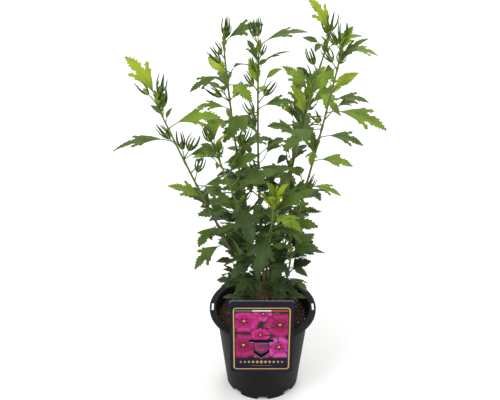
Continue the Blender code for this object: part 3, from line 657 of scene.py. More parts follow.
printDesign = {
    "lift": 0.00002, "layer": 0.000004, "layerGap": 0.000001,  # each colour lies this much on the last
    "step": 0.00001, "coat": 0.000006,  # the same on the frame and the tongue
    "holeMargin": 0.0006, "holeDepth": 0.01,
    "frame": (0.0487, -0.0664, 0.0818, 0.0065, 0.0026),  # half width, low, high, corner, line
    "frameInset": 0.12, "frameFill": 0.72,
    "picture": (0.0446, -0.0375, 0.0700, 0.001),  # half width, low, high, corner
    "flowers": (  # across, up, radius, turn, kind
        (0.002, 0.066, 0.017, 12, "lilac"), (-0.030, 0.049, 0.026, 50, "pink"),
        (0.031, 0.040, 0.027, 20, "deep"), (-0.031, -0.008, 0.028, 8, "deep"),
        (0.030, -0.013, 0.026, 60, "lilac"), (-0.002, 0.017, 0.017, 36, "pink"),
        (0.000, -0.034, 0.013, 50, "pink")),
    "petals": 5, "petalSway": 5, "petalReach": (0.94, 1.04), "petalWidth": 0.62,
    "petalBands": ((1, ""), (0.86, "Light"), (0.60, "")),  # share of the petal, tone
    "throat": (0.34, 0.10, 0.15), "eyeSides": 14,  # length, width, eye, as shares of the radius
    "stamens": (0.07, 1.6, 0.05), "rays": 6,  # length, how much longer each second one is, how far up
    "leaves": 34, "leafSizes": (0.010, 0.020), "leafColours": ("leafDark", "leafDark", "leafLight"),
    "leafOutline": ((0, 0), (0.35, 0.16), (0.7, 0.13), (1, 0), (0.7, -0.13), (0.35, -0.16)),
    "bar": (0.016, 0.0026, 0.0062), "barColours": ("moss", "cream", "rose"),  # half the middle, low, high
    "diamonds": 5, "diamondSize": 0.0044, "diamondShrink": 0.00034, "diamondStep": 0.0072,
    "diamondDrop": 0.0105, "diamondForms": ((0.7, 1, "gold"), (0.3, 0.45, "goldShade")),
    "rule": (0.018, 0.0200, 0.0188),
    "seed": 5,
    "finish": dict(roughness=0.40, vary=0.10, grain=190, shine=0.15),
    "tones": {
        "field": (24, 36, 20), "leafDark": (26, 50, 22), "leafLight": (66, 90, 42),
        "gold": (186, 152, 92), "goldShade": (120, 92, 48), "cream": (196, 194, 178),
        "lilac": (164, 36, 118), "lilacLight": (184, 66, 144), "pink": (158, 20, 98),
        "pinkLight": (176, 40, 120), "deep": (136, 12, 76), "deepLight": (158, 26, 96),
        "throat": (84, 8, 32), "stamen": (206, 150, 84), "mauve": (122, 62, 112),
        "mauveDark": (84, 38, 78), "moss": (74, 104, 70), "rose": (150, 70, 66)},
}


def cardMatrix():
    s = labelSizes
    return (Matrix.Translation((s["side"], -s["front"], potSizes["rimTop"]))
            @ Matrix.Rotation(radians(90 + s["lean"]), 4, "X"))


def roundedBox(half, low, high, corner):
    spots = ((half - corner, low + corner, -90), (half - corner, high - corner, 0),
             (-half + corner, high - corner, 90), (-half + corner, low + corner, 180))
    points = []
    for x, y, start in spots:
        points += bend((x, y), corner, start, start + 90, 8)
    return points


def shieldOutline(inset=0.0, drop=0.0):
    s = labelSizes
    half, barHalf = s["shieldWidth"] / 2 - inset, s["barWidth"] / 2 - inset
    top, step = s["barTop"] - inset, s["barTop"] - s["barHeight"]
    point = step - s["shieldDepth"] + inset
    foot = [(-half, point + s["shieldPoint"]), (0, point), (half, point + s["shieldPoint"])]
    if drop:  # the tongue alone, without the bar
        return [(half, step - drop), (-half, step - drop), *foot]
    return [(-barHalf, top), (-barHalf, step), (-half, step), *foot,
            (half, step), (barHalf, step), (barHalf, top)]


def bridge(bm, low, high, slot=0):
    # faces between two closed rows of points
    for i in range(len(low)):
        j = (i + 1) % len(low)
        bm.faces.new((low[i], low[j], high[j], high[i])).material_index = slot


def plate(bm, outline, low, high, slot):
    # a closed flat slab with an outline that runs anticlockwise
    area = sum(a[0] * b[1] - b[0] * a[1] for a, b in zip(outline, outline[1:] + outline[:1]))
    outline = outline if area > 0 else outline[::-1]
    under, over = ([bm.verts.new((x, y, z)) for x, y in outline] for z in (low, high))
    for face in (over, under[::-1]):
        bm.faces.new(face).material_index = slot
    bridge(bm, under, over, slot)


def ringPlate(bm, outer, inner, low, high, slot):
    rows = [[bm.verts.new((x, y, z)) for x, y in line]
            for line, z in ((outer, low), (outer, high), (inner, high), (inner, low))]
    for first, second in zip(rows, rows[1:] + rows[:1]):
        bridge(bm, first, second, slot)


petalForm = {
    "notch": (0.06, 0.16),  # depth and width
    "roundOff": (0.30, 3.2), "sides": (0.25, 6),  # what the ends and the sides lose, and how abruptly
    "ripple": (0.018, 2.4),
}


def petalOutline(x, y, turn, length, width, steps=9):
    # a broad petal with a shallow notch at its end
    (dip, dipWidth), (loss, power) = petalForm["notch"], petalForm["roundOff"]
    (pinch, pinchPower), (ripple, wave) = petalForm["sides"], petalForm["ripple"]
    points = [(0, 0)]
    for i in range(-steps, steps + 1):
        t = i / steps
        reach = length * (1 - dip * exp(-(t / dipWidth) ** 2) - loss * abs(t) ** power)
        across = width * sin(pi / 2 * t) * (1 - pinch * abs(t) ** pinchPower)
        points.append((reach * (1 + ripple * sin(i * wave)), across))
    return turned(points, x, y, turn)


def turned(points, x, y, turn, size=1):
    c, s = cos(turn), sin(turn)
    return [(x + size * (a * c - b * s), y + size * (a * s + b * c)) for a, b in points]


def clipBox(outline, half, low, high):
    # keeps what lies in the box, side by side
    for axis, limit, sign in ((0, half, 1), (0, -half, -1), (1, high, 1), (1, low, -1)):
        kept = []
        for a, b in zip(outline, outline[1:] + outline[:1]):
            insideA, insideB = sign * (limit - a[axis]) >= 0, sign * (limit - b[axis]) >= 0
            if insideA:
                kept.append(a)
            if insideA != insideB:
                t = (limit - a[axis]) / (b[axis] - a[axis])
                kept.append((a[0] + (b[0] - a[0]) * t, a[1] + (b[1] - a[1]) * t))
        outline = kept
        if len(outline) < 3:
            return []
    return outline


def printColours():
    return {name: finish(f"print_{name}", linear(*tone), **printDesign["finish"])
            for name, tone in printDesign["tones"].items()}


def paint(bm, colours):
    # a mesh whose faces take their print colours by number
    made = fromBmesh("label_print", bm)
    for surface in colours.values():
        made.data.materials.append(surface)
    return made


def makePrint(colours):
    d, names = printDesign, list(colours)
    bm = bmesh.new()
    half, low, high, corner = d["picture"]
    level = [labelSizes["thick"] / 2 + d["lift"]]

    def lay(outline, name, inside=True):
        if inside:
            outline = clipBox(outline, half, low, high)
        if len(outline) > 2:
            top = level[0] + d["layer"]
            plate(bm, outline, level[0] + d["layerGap"], top, names.index(name))
            level[0] = top

    lay(roundedBox(half, low, high, corner), "field")
    dice = random.Random(d["seed"])
    for i in range(d["leaves"]):
        x, y, turn = dice.uniform(-half, half), dice.uniform(low, high), dice.uniform(0, 2 * pi)
        size = dice.uniform(*d["leafSizes"])
        lay(turned(d["leafOutline"], x, y, turn, size), dice.choice(d["leafColours"]))
    throat, throatWidth, eye = d["throat"]
    star, starPoints, starUp = d["stamens"]
    for x, y, radius, turn, kind in d["flowers"]:
        turns = [turn + 360 / d["petals"] * k for k in range(d["petals"])]
        for each in turns:
            angle = radians(each + dice.uniform(-d["petalSway"], d["petalSway"]))
            reach = radius * dice.uniform(*d["petalReach"])
            for share, tone in d["petalBands"]:
                width = reach * share * d["petalWidth"]
                lay(petalOutline(x, y, angle, reach * share, width), kind + tone)
        for each in turns:
            lay(petalOutline(x, y, radians(each), radius * throat, radius * throatWidth, 4), "throat")
        lay([(x + a, y + b) for a, b in circle(d["eyeSides"], radius * eye)], "throat")
        rays = [radius * star * (starPoints if i % 2 else 1) for i in range(2 * d["rays"])]
        lay([(x + ray * cos(pi * i / d["rays"]), y + radius * starUp + ray * sin(pi * i / d["rays"]))
             for i, ray in enumerate(rays)], "stamen")
    # a bar over the picture, and a row of diamonds with a rule below it
    middle, barLow, barHigh = d["bar"]
    for left, right, name in zip((-half, -middle, middle), (-middle, middle, half), d["barColours"]):
        lay(flatBox(left, right, high + barLow, high + barHigh), name, False)
    for i in range(-d["diamonds"], d["diamonds"] + 1):
        size = d["diamondSize"] - d["diamondShrink"] * abs(i)
        x, y = i * d["diamondStep"], low - d["diamondDrop"]
        for wide, tall, name in d["diamondForms"]:
            wide, tall = size * wide, size * tall
            lay([(x - wide, y), (x, y - tall), (x + wide, y), (x, y + tall)], name, False)
    across, ruleLow, ruleHigh = d["rule"]
    lay(flatBox(-across, across, low - ruleLow, low - ruleHigh), "goldShade", False)
    across, low, high, corner, line = d["frame"]
    for inset, width, name, rise in ((0, line, "goldShade", 1),
                                     (line * d["frameInset"], line * d["frameFill"], "gold", 2)):
        outer, inner = (roundedBox(across - i, low + i, high - i, corner - i) for i in (inset, inset + width))
        start = level[0] + rise * d["step"]
        ringPlate(bm, outer, inner, start, start + d["coat"], names.index(name))
    cutter = bmesh.new()
    plate(cutter, shieldOutline(-d["holeMargin"]), -d["holeDepth"], d["holeDepth"], 0)
    return cutAway(paint(bm, colours), [fromBmesh("hole", cutter)])


def flatBox(left, right, low, high):
    return [(left, low), (right, low), (right, high), (left, high)]


def makeCard(colours):
    s, d, half = labelSizes, printDesign, labelSizes["thick"] / 2
    stretch = 1 / cos(radians(s["lean"]))
    low, high = ((s[end] - potSizes["rimTop"]) * stretch for end in ("bottom", "top"))
    data = bpy.data.curves.new("label_card", "CURVE")
    data.dimensions, data.fill_mode, data.extrude = "2D", "BOTH", half
    for outline in (roundedBox(s["width"] / 2, low, high, s["corner"]), shieldOutline()):
        spline = data.splines.new("POLY")
        spline.points.add(len(outline) - 1)
        for point, (x, y) in zip(spline.points, outline):
            point.co = (x, y, 0, 1)
        spline.use_cyclic_u = True
    curve = bpy.data.objects.new("card_curve", data)
    scene.collection.objects.link(curve)
    bpy.context.view_layer.update()
    graph = bpy.context.evaluated_depsgraph_get()
    bm = bmesh.new()
    bm.from_mesh(bpy.data.meshes.new_from_object(curve.evaluated_get(graph)))
    bpy.data.objects.remove(curve)
    bmesh.ops.remove_doubles(bm, verts=bm.verts, dist=1e-6)
    bmesh.ops.recalc_face_normals(bm, faces=bm.faces)
    for face in bm.faces:
        face.material_index = 0 if abs(face.normal.z) > 0.5 else 1
    card = fromBmesh("label_card", bm)
    card.data.materials.append(finish("printed_card", **s["card"]))
    card.data.materials.append(finish("card_edge", **s["cardEdge"]))
    # the tongue, punched from the shield and leaning back from its top
    bm = bmesh.new()
    names = list(colours)
    outline = shieldOutline(s["tongueGap"], s["tongueDrop"])
    plate(bm, outline, -half, half, names.index("mauve"))
    (right, top), point = outline[0], outline[3][1]
    for k, (x, y, reach, turn, name) in enumerate(s["tonguePrint"]):
        petal = petalOutline(x, top - y, radians(turn), reach, reach * s["tonguePetal"])
        petal = clipBox(petal, right - s["tongueInset"], point + s["tongueClear"], top - s["tongueInset"])
        level = half + d["lift"] + k * d["step"]
        plate(bm, petal, level, level + d["coat"], names.index(name))
    tongue = paint(bm, colours)
    tongue.name = "tongue"
    hinge = Matrix.Translation((0, top, 0))
    placeMesh(tongue, hinge @ Matrix.Rotation(radians(s["tongueTurn"]), 4, "X") @ hinge.inverted())
    return card, tongue


def hookPath():
    # from the card above the bar, over the rim and down through the slot
    s, top = labelSizes, potSizes["rimTop"]
    over, down = top + s["hookOver"], -potSizes["slotRadius"]
    leave = top + s["barTop"] + s["hookAbove"]
    card = -(s["front"] + (leave - top) * tan(radians(s["lean"])))
    (kneeOut, kneeDown), (crownOut, crownUp) = s["hookKnee"], s["hookCrown"]
    return [(card, leave), (card + kneeOut, leave - kneeDown), (down - crownOut, over + crownUp),
            (down, over - s["hookShoulder"]), (down, top - s["hookDrop"] * s["hookWaist"]),
            (down + s["hookOut"], top - s["hookDrop"])]


def makeHook():
    s, path = labelSizes, hookPath()
    count = len(path)
    halves = [s["hookWidth"] / 2] * (count - 1) + [s["hookWidth"] / 2 * s["hookTip"]]
    verts = [(s["side"] + side * half, y, z) for side in (-1, 1) for (y, z), half in zip(path, halves)]
    faces = [(i, i + 1, count + i + 1, count + i) for i in range(count - 1)]
    hook = meshObject("hook", verts, faces)
    body = hook.modifiers.new("body", "SOLIDIFY")
    body.thickness, body.offset = s["hookThick"], 0
    edge = hook.modifiers.new("edge", "BEVEL")
    edge.width, edge.segments = s["hookEdge"], 2
    settle(hook)
    hook.data.materials.append(bpy.data.materials["printed_card"])
    return hook


def makeLabel():
    colours = printColours()
    picture = makePrint(colours)
    card, tongue = makeCard(colours)
    for thing in (picture, card, tongue):
        placeMesh(thing, cardMatrix())
    card = join("label_card", [card, makeHook()])
    for thing in (card, tongue, picture):
        thing.data.shade_flat()
    addPiece(card, ["label"])
    addPiece(join("label_print", [picture, tongue]), ["label"])


# How the shrub grows: the same rule and the same dice as its solids

stoolSizes = {"footRadius": 0.0215, "topRadius": 0.0112, "height": 0.024, "shoulderRadius": 0.0190,
              "shoulder": 0.009, "shift": 0.006}
growth = {
    "gap": 0.0004, "caneFoot": 0.0029, "caneTip": 0.0013, "steps": 10, "bare": 0.17,
    "shortCane": (0.62, 0.45), "caneTaper": 0.8,  # thickness of the shortest, length of a full one
    "leafThick": 0.0009, "petioleWidth": 0.0019, "petiole": 0.27, "petioleLift": 12, "droop": 40, "fold": 12,
    "leafLow": 0.070, "leafHigh": 0.054, "broadLeaf": 0.36, "narrowLeaf": 0.31, "broadBelow": 0.26,
    "narrowAbove": 0.50, "lobeAt": 0.53, "foldAt": 0.44,
    "sinusAt": (0.56, 0.42),  # how far along, and its share of the breadth
    "clear": 0.0020, "reach": 0.118, "turns": (0, 24, -24, 48, -48, 75),
    "firstNode": 0.035, "nodesSpan": 0.955, "nodeRoom": 0.045,
    "sizeSpread": (0.86, 1.12), "headingSpread": 12, "riseLow": 4, "riseGain": 22, "riseSpread": (-14, 12),
    "droops": (30, 66), "rolls": 28, "folds": (6, 20), "faceFront": 14,
    "twigRadius": 0.0011, "twigTip": 0.0008, "twigLift": 0.16, "twigLengths": (0.030, 0.055), "twigRise": 38,
    "twigTurn": 60, "twigUpTo": 0.50, "twigLeafSizes": (0.62, 0.86), "twigLeafTilts": (-24, 10),
    "twigLeaves": ((0.55, -38), (0.97, 38)),  # how far out, turn
    "budRadius": 0.0040, "budHeight": 0.0120, "budShoulder": (0.55, 0.72), "bracts": 4,
    "bractLength": 0.0240, "bractSpread": 0.31, "pedicel": 0.0008, "budsAbove": 0.40, "budTurn": 40,
    "budRises": (52, 76), "budSizes": (0.95, 1.20), "stalks": (0.012, 0.024),
    "namedBud": 1.15, "namedStalk": 0.018, "namedLongest": 0.068,
    # low leaves of the solids are larger than life, as they are fewer: their share here, and the heights
    # between which it grows to the whole; those just over the rim stay small and end over the soil
    "trueUpTo": (0.80, 0.36, 0.56), "namedTrueUpTo": (0.80, 0.27, 0.36), "lowestUpTo": (0.70, 0.20, 0.27),
    # painted shade and light: leaves darker below and inside, where shade falls, and brighter towards the lit
    # tips
    "lightFrom": 0.20, "lightSpan": 0.46, "lightSway": 0.30,
    "tints": (("dark", 0.36), ("mid", 0.80), ("bright", 1.18), ("young", 9)),  # each up to this much light
}

# Each cane: foot (heading, distance), tip, bow, its nodes with their first heading, turn and seed, and how
# many fine shoots. Named leaves are (share, heading, rise, length, tint) with a roll of their own where the
# leaf needs one, and named buds (share, heading, rise). A tuft gives the lengths of the leaves at the tip.
# a named leaf's tint is painted light and shade: dark for leaves in shade, mid, bright and young for leaves
# in more light
canes = (
    dict(name="centre", foot=(0, 0.0), tip=(-0.009, 0.015, 0.668), bow=(-0.0065, 0.004, 0),
         nodes=11, first=300, turn=165, seed=67, finer=7,
         leaves=((0.99, 3, 10, 0.064, "mid", 2), (0.84, 122, 50, 0.042, "young"), (0.77, 9, 0, 0.048, "mid"),
                 (0.66, 135, -3, 0.058, "mid"), (0.76, 230, -20, 0.07, "mid"), (0.47, 45, 0, 0.064, "mid")),
         buds=((0.99, 120, 80), (0.87, 190, 80), (0.79, 10, 55), (0.72, 190, 65))),
    dict(name="right_back", foot=(25, 0.0082), tip=(0.101, 0.035, 0.668), bow=(-0.014, 0, 0),
         nodes=11, first=30, turn=153, seed=10, finer=8,
         leaves=((0.99, 160, 55, 0.062, "young"), (0.85, 207, 20, 0.046, "bright"),
                 (0.66, 192, 17, 0.048, "mid"), (0.7, 175, 66, 0.06, "young"),
                 (0.95, 345, 25, 0.056, "bright"), (0.82, 320, -30, 0.048, "bright")),
         buds=((0.99, 30, 80), (0.88, 170, 70))),
    dict(name="back", foot=(76, 0.0082), tip=(0.08, 0.13, 0.52), bow=(-0.008, 0.006, 0),
         nodes=10, first=110, turn=205, seed=91, finer=9,
         leaves=((0.94, 60, 30, 0.076, "bright"), (0.88, 110, 45, 0.06, "bright"),
                 (0.35, 125, -5, 0.078, "mid"))),
    dict(name="left_back", foot=(135, 0.0082), tip=(-0.065, 0.05, 0.655), bow=(-0.006, 0, 0),
         nodes=9, first=140, turn=160, seed=86, finer=7,
         leaves=((0.99, 354, 24, 0.06, "mid"), (0.88, 194, -25, 0.052, "mid"),
                 (0.81, 105, 5, 0.056, "mid"), (0.86, 125, 15, 0.05, "young"),
                 (0.85, 325, -5, 0.06, "bright"), (0.62, 335, -8, 0.056, "mid"),
                 (0.76, 185, 0, 0.046, "bright"), (0.33, 205, 35, 0.078, "mid")),
         buds=((0.99, 60, 82), (0.9, 180, 55), (0.79, 190, 40))),
    dict(name="far_left", foot=(184, 0.0082), tip=(-0.167, -0.055, 0.605), bow=(-0.005, 0, 0),
         nodes=7, first=120, turn=185, seed=35, finer=5,
         leaves=((0.99, 146, 41, 0.07, "young"), (0.82, 186, -13, 0.08, "mid", 2),
                 (0.88, 0, 7, 0.068, "bright"), (0.74, 354, 11, 0.048, "mid"), (0.6, 349, 10, 0.05, "mid"),
                 (0.53, 172, 17, 0.056, "bright"), (0.62, 325, -17, 0.054, "mid"),
                 (0.42, 235, -20, 0.045, "mid"), (0.33, 200, -42, 0.064, "mid"),
                 (0.4, 345, -25, 0.05, "dark"), (0.96, 60, 65, 0.036, "mid")),
         buds=((0.99, 20, 75), (0.93, 60, 85), (0.8, 170, 50), (0.74, 20, 62), (0.64, 0, 75))),
    dict(name="left_front", foot=(234, 0.0082), tip=(-0.078, -0.085, 0.54), bow=(0.01, -0.004, 0),
         nodes=11, first=90, turn=217, seed=5, finer=9,
         leaves=((0.74, 15, 15, 0.08, "mid"), (0.7, 290, -30, 0.076, "dark"), (0.25, 50, 30, 0.076, "dark")),
         buds=((0.99, 200, 70),)),
    dict(name="front", foot=(285, 0.0082), tip=(0.015, -0.09, 0.425), bow=(-0.006, -0.01, 0),
         nodes=11, first=260, turn=168, seed=63, finer=8, tuft=(0.034, 0.050),
         leaves=((0.99, 314, -12, 0.05, "bright"), (0.97, 301, 1, 0.042, "bright"),
                 (0.985, 0, 61, 0.05, "young"), (0.98, 180, 72, 0.05, "bright"),
                 (0.87, 250, -45, 0.078, "dark"), (0.95, 15, 23, 0.076, "mid"),
                 (0.59, 155, -45, 0.078, "dark"), (0.85, 355, 0, 0.062, "mid"))),
    dict(name="right_front", foot=(335, 0.0082), tip=(0.116, -0.03, 0.68), bow=(0.004, 0, 0),
         nodes=7, first=60, turn=144, seed=0, finer=6,
         leaves=((0.99, 11, -18, 0.048, "bright"), (0.84, 27, 23, 0.046, "young"),
                 (0.78, 348, -19, 0.08, "bright"), (0.82, 0, -8, 0.05, "mid"), (0.69, 0, -19, 0.058, "mid"),
                 (0.6, 355, -13, 0.052, "bright"), (0.5, 350, -18, 0.048, "bright"),
                 (0.48, 290, 12, 0.056, "dark"), (0.94, 240, -20, 0.048, "bright"),
                 (0.72, 225, -10, 0.07, "mid"), (0.6, 130, 70, 0.048, "mid"),
                 (0.97, 35, 57, 0.042, "bright"), (0.93, 0, 42, 0.056, "mid")),
         buds=((0.99, 80, 82), (0.93, 200, 60))),
    dict(name="low_back_left", foot=(125, 0.0155), tip=(-0.038, 0.105, 0.42), bow=(-0.004, 0.004, 0),
         nodes=9, first=260, turn=205, seed=99, finer=6,
         leaves=((0.97, 285, -35, 0.058, "mid"), (0.93, 105, -45, 0.076, "dark"),
                 (0.65, 180, -5, 0.078, "mid"))),
    dict(name="low_back_right", foot=(52, 0.0155), tip=(0.052, 0.09, 0.33), bow=(0.004, 0.006, 0),
         nodes=6, first=140, turn=210, seed=9, finer=5,
         leaves=((0.89, 120, 60, 0.078, "mid"), (0.84, 285, -15, 0.07, "dark"))),
    dict(name="low_left", foot=(200, 0.0155), tip=(-0.046, -0.046, 0.295), bow=(-0.004, -0.002, 0),
         nodes=9, first=170, turn=165, seed=45, finer=4,
         leaves=((0.93, 225, 70, 0.076, "dark"), (0.93, 130, 55, 0.05, "dark"),
                 (0.73, 60, -35, 0.05, "dark"), (0.33, 160, 60, 0.05, "dark"))),
    dict(name="low_front", foot=(262, 0.0155), tip=(-0.012, -0.078, 0.29), bow=(0.002, -0.004, 0),
         nodes=6, first=50, turn=150, seed=10, finer=5,
         leaves=((0.95, 235, 0, 0.06, "dark"), (0.75, 25, -20, 0.076, "dark"),
                 (0.8, 190, 25, 0.058, "dark"), (0.59, 205, 60, 0.06, "dark"),
                 (0.67, 90, 15, 0.044, "dark"))),
    dict(name="low_right", foot=(322, 0.0155), tip=(0.046, -0.046, 0.31), bow=(0.005, -0.002, 0),
         nodes=5, first=0, turn=130, seed=65, finer=4,
         leaves=((0.99, 335, 25, 0.052, "mid"), (0.87, 195, 0, 0.076, "dark"), (0.92, 50, 10, 0.064, "mid"),
                 (0.72, 180, 0, 0.062, "dark"), (0.8, 326, -14, 0.036, "dark"),
                 (0.42, 310, 30, 0.044, "dark"))),
)


def headingVector(heading, rise):
    flat = cos(radians(rise))
    return Vector((flat * cos(radians(heading)), flat * sin(radians(heading)), sin(radians(rise))))


def caneFoot(cane):
    s = stoolSizes
    heading, distance = cane["foot"]
    stand = s["height"] if distance < s["topRadius"] else s["shoulder"]
    level = soilHigh[2] + 2 * growth["gap"] + stand
    foot = Vector((s["shift"] + distance * cos(radians(heading)), distance * sin(radians(heading)), level))
    start = (Vector(cane["tip"]) - foot) / 2 + 2 * Vector(cane["bow"])
    foot.z += growth["caneFoot"] * start.normalized().xy.length
    return foot


def canePoint(cane, share):
    foot, tip = caneFoot(cane), Vector(cane["tip"])
    middle = (foot + tip) / 2 + 2 * Vector(cane["bow"])
    rest = 1 - share
    return foot * rest * rest + middle * 2 * share * rest + tip * share * share


def caneLength(cane):
    return (Vector(cane["tip"]) - caneFoot(cane)).length


def caneRadius(cane, share):
    least, full = growth["shortCane"]
    foot = growth["caneFoot"] * (least + (1 - least) * min(1, caneLength(cane) / full))
    return foot + (growth["caneTip"] - foot) * share ** growth["caneTaper"]


def twigPoint(twig, share):
    along = headingVector(twig["heading"], twig["rise"]) * share
    return twig["root"] + (along + up * growth["twigLift"] * share * share) * twig["length"]


def leafBase(leaf):
    rise = leaf["rise"] + growth["petioleLift"]
    return leaf["root"] + headingVector(leaf["heading"], rise) * leaf["petiole"]


def leafPoint(leaf, along, across):
    # along 0 to 1 from the blade's base to its tip, across in metres from the rib
    length, start = leaf["length"], radians(leaf["rise"])
    bending = radians(leaf["droop"]) / length
    here = start - bending * along * length
    forward, upward = (sin(start) - sin(here)) / bending, (cos(here) - cos(start)) / bending
    ahead = headingVector(leaf["heading"], 0)
    side = Vector((-ahead.y, ahead.x, 0))
    tangent = ahead * cos(here) + up * sin(here)
    normal = tangent.cross(side)
    roll = Matrix.Rotation(radians(leaf["roll"]), 3, tangent)
    side, normal = roll @ side, roll @ normal
    fold = radians(leaf["fold"])
    return (leafBase(leaf) + ahead * forward + up * upward + side * across * cos(fold)
            + normal * abs(across) * sin(fold))


def leafSheet(leaf):
    length, half, breadth = leaf["length"], growth["petioleWidth"] / 2, leaf["breadth"]
    side, (sinus, sinusShare) = headingVector(leaf["heading"] + 90, 0), growth["sinusAt"]
    verts = [leaf["root"] - side * half, leaf["root"] + side * half]
    for along, across in ((0.0, half / length), (growth["lobeAt"], breadth), (sinus, breadth * sinusShare)):
        verts += [leafPoint(leaf, along, -across * length), leafPoint(leaf, along, across * length)]
    verts += [leafPoint(leaf, growth["foldAt"], 0), leafPoint(leaf, 1.0, 0)]
    return verts, [(0, 2, 3, 1), (3, 2, 8), (2, 4, 8), (5, 3, 8), (4, 6, 8), (7, 5, 8), (6, 9, 8), (9, 7, 8)]


def budMesh(bud):
    n, size, way = growth["bracts"], bud["size"], headingVector(bud["heading"], bud["rise"])
    across = way.orthogonal().normalized()
    roundIt = [Matrix.Rotation(2 * pi * i / n, 3, way) @ across for i in range(n)]
    halfWay = Matrix.Rotation(pi / n, 3, way)
    foot, cup = bud["root"], bud["root"] + way * bud["stalk"]
    thin, wide, tall = growth["pedicel"], growth["budRadius"], growth["budHeight"]
    verts = [foot + d * thin for d in roundIt] + [cup + d * thin for d in roundIt]
    verts += [cup + (way + d) * wide * size for d in roundIt]
    high, narrow = growth["budShoulder"]
    verts += [cup + (way * tall * high + halfWay @ d * wide * narrow) * size for d in roundIt]
    spread, reach = growth["bractSpread"], growth["bractLength"] * size
    verts += [cup + (way + halfWay @ d * spread) * reach for d in roundIt]
    verts.append(cup + way * tall * size)
    faces = [tuple(reversed(range(n)))]
    for i in range(n):
        j, ring, cupRing, inner, bract = (i + 1) % n, n, 2 * n, 3 * n, 4 * n
        faces += [(i, j, ring + j, ring + i), (ring + i, ring + j, cupRing + j, cupRing + i),
                  (cupRing + i, cupRing + j, bract + i), (cupRing + j, inner + i, bract + i),
                  (inner + i, cupRing + i, bract + i), (inner + i, cupRing + j, inner + j),
                  (inner + i, inner + j, 5 * n)]
    return verts, faces


def swollen(verts, faces, by):
    shell = bmesh.new()
    made = [shell.verts.new(v) for v in verts]
    for face in faces:
        shell.faces.new([made[i] for i in face])
    shell.normal_update()
    out = [v.co + v.normal * by for v in made]
    shell.free()
    return out


def thickened(verts, faces, thickness):
    count = len(verts)
    edges = {}
    for face in faces:
        for a, b in zip(face, face[1:] + face[:1]):
            edges[(a, b)] = (b, a) not in edges
            if (b, a) in edges:
                edges[(b, a)] = False
    rim = [(b, a, count + a, count + b) for (a, b), isRim in edges.items() if isRim]
    under = [tuple(count + i for i in reversed(face)) for face in faces]
    return (swollen(verts, faces, thickness / 2) + swollen(verts, faces, -thickness / 2),
            list(faces) + under + rim)


def squareTube(points, widths):
    verts = [point + Vector((x * wide, y * wide, 0)) for point, wide in zip(points, widths)
             for x, y in ((1, 1), (-1, 1), (-1, -1), (1, -1))]
    faces = [(4 * i + j, 4 * i + (j + 1) % 4, 4 * i + 4 + (j + 1) % 4, 4 * i + 4 + j)
             for i in range(len(points) - 1) for j in range(4)]
    last = 4 * (len(points) - 1)
    return verts, faces + [(3, 2, 1, 0), (last, last + 1, last + 2, last + 3)]


def limbGuard(cane, end):
    shares = [end * i / growth["steps"] for i in range(growth["steps"] + 1)]
    return squareTube([canePoint(cane, share) for share in shares],
                      [caneRadius(cane, share) + growth["clear"] for share in shares])


def stillGuard():
    # soil, rim and label as plain faces that no leaf may cross
    verts, faces, sides, middle = [], [], 24, 0.001
    clear, p = growth["clear"], potSizes
    over = p["rimTop"] + clear
    rings = ((p["rimRadius"] + clear, p["rimTop"] - 2 * p["skirt"]), (p["rimRadius"] + clear, over),
             (p["wallTop"] - clear, over), (p["wallTop"] - clear, soilHigh[2]),
             (stoolSizes["footRadius"], soilHigh[2] + clear), (middle, soilHigh[2] + clear))
    for radius, height in rings:
        verts += [Vector((x, y, height)) for x, y in circle(sides, radius)]
    for ring in range(len(rings) - 1):
        for i in range(sides):
            a, b = ring * sides + i, ring * sides + (i + 1) % sides
            faces.append((a, b, b + sides, a + sides))
    s = labelSizes
    half = s["width"] / 2 + clear
    for out in (-2 * clear, 2 * clear):
        start = len(verts)
        for height in (s["bottom"], s["top"] + clear):
            front = s["front"] + (height - p["rimTop"]) * tan(radians(s["lean"]))
            verts += [Vector((s["side"] + x, -front + out, height)) for x in (-half, half)]
        faces.append((start, start + 1, start + 3, start + 2))
    return verts, faces


def makeGuards():
    return {"still": BVHTree.FromPolygons(*stillGuard()),
            "limbs": {c["name"]: BVHTree.FromPolygons(*limbGuard(c, 1)) for c in canes},
            "boughs": {c["name"]: BVHTree.FromPolygons(*limbGuard(c, growth["bare"])) for c in canes},
            "grown": {c["name"]: [] for c in canes}}


def isClear(guards, cane, verts, faces):
    name = cane["name"]
    spine = [canePoint(cane, i / growth["steps"]) for i in range(growth["steps"] + 1)]
    if any(min((vert - point).length for point in spine) > growth["reach"] for vert in verts):
        return False
    wide = BVHTree.FromPolygons(swollen(verts, faces, growth["clear"]), faces)
    if wide.overlap(guards["still"]) or wide.overlap(guards["boughs"][name]):
        return False
    others = [other for other in guards["limbs"] if other != name]
    if any(wide.overlap(guards["limbs"][other]) for other in others):
        return False
    return not any(wide.overlap(tree) for other in others for tree in guards["grown"][other])


def keep(guards, cane, mine, kind, thing, turns=None):
    # takes a leaf, bud or twig up where it is clear of the others, turned a little if need be
    for turn in turns or growth["turns"]:
        tried = dict(thing, heading=thing["heading"] + turn)
        if kind == "leaves":
            verts, faces = thickened(*leafSheet(tried), growth["leafThick"])
        elif kind == "buds":
            verts, faces = budMesh(tried)
        else:
            points = [twigPoint(tried, i / 2) for i in range(3)]
            verts, faces = squareTube(points, [growth["twigRadius"]] * 3)
        if isClear(guards, cane, verts, faces):
            thing["heading"] = tried["heading"]
            mine[kind].append(thing)
            guards["grown"][cane["name"]].append(BVHTree.FromPolygons(verts, faces))
            return True
    return False


def ramp(value, low, high):
    return min(1, max(0, (value - low) / (high - low)))


def trueLength(length, height, share, low, high):
    return length * (share + (1 - share) * ramp(height, low, high))


def spread(dice, width):
    return dice.uniform(-width, width)


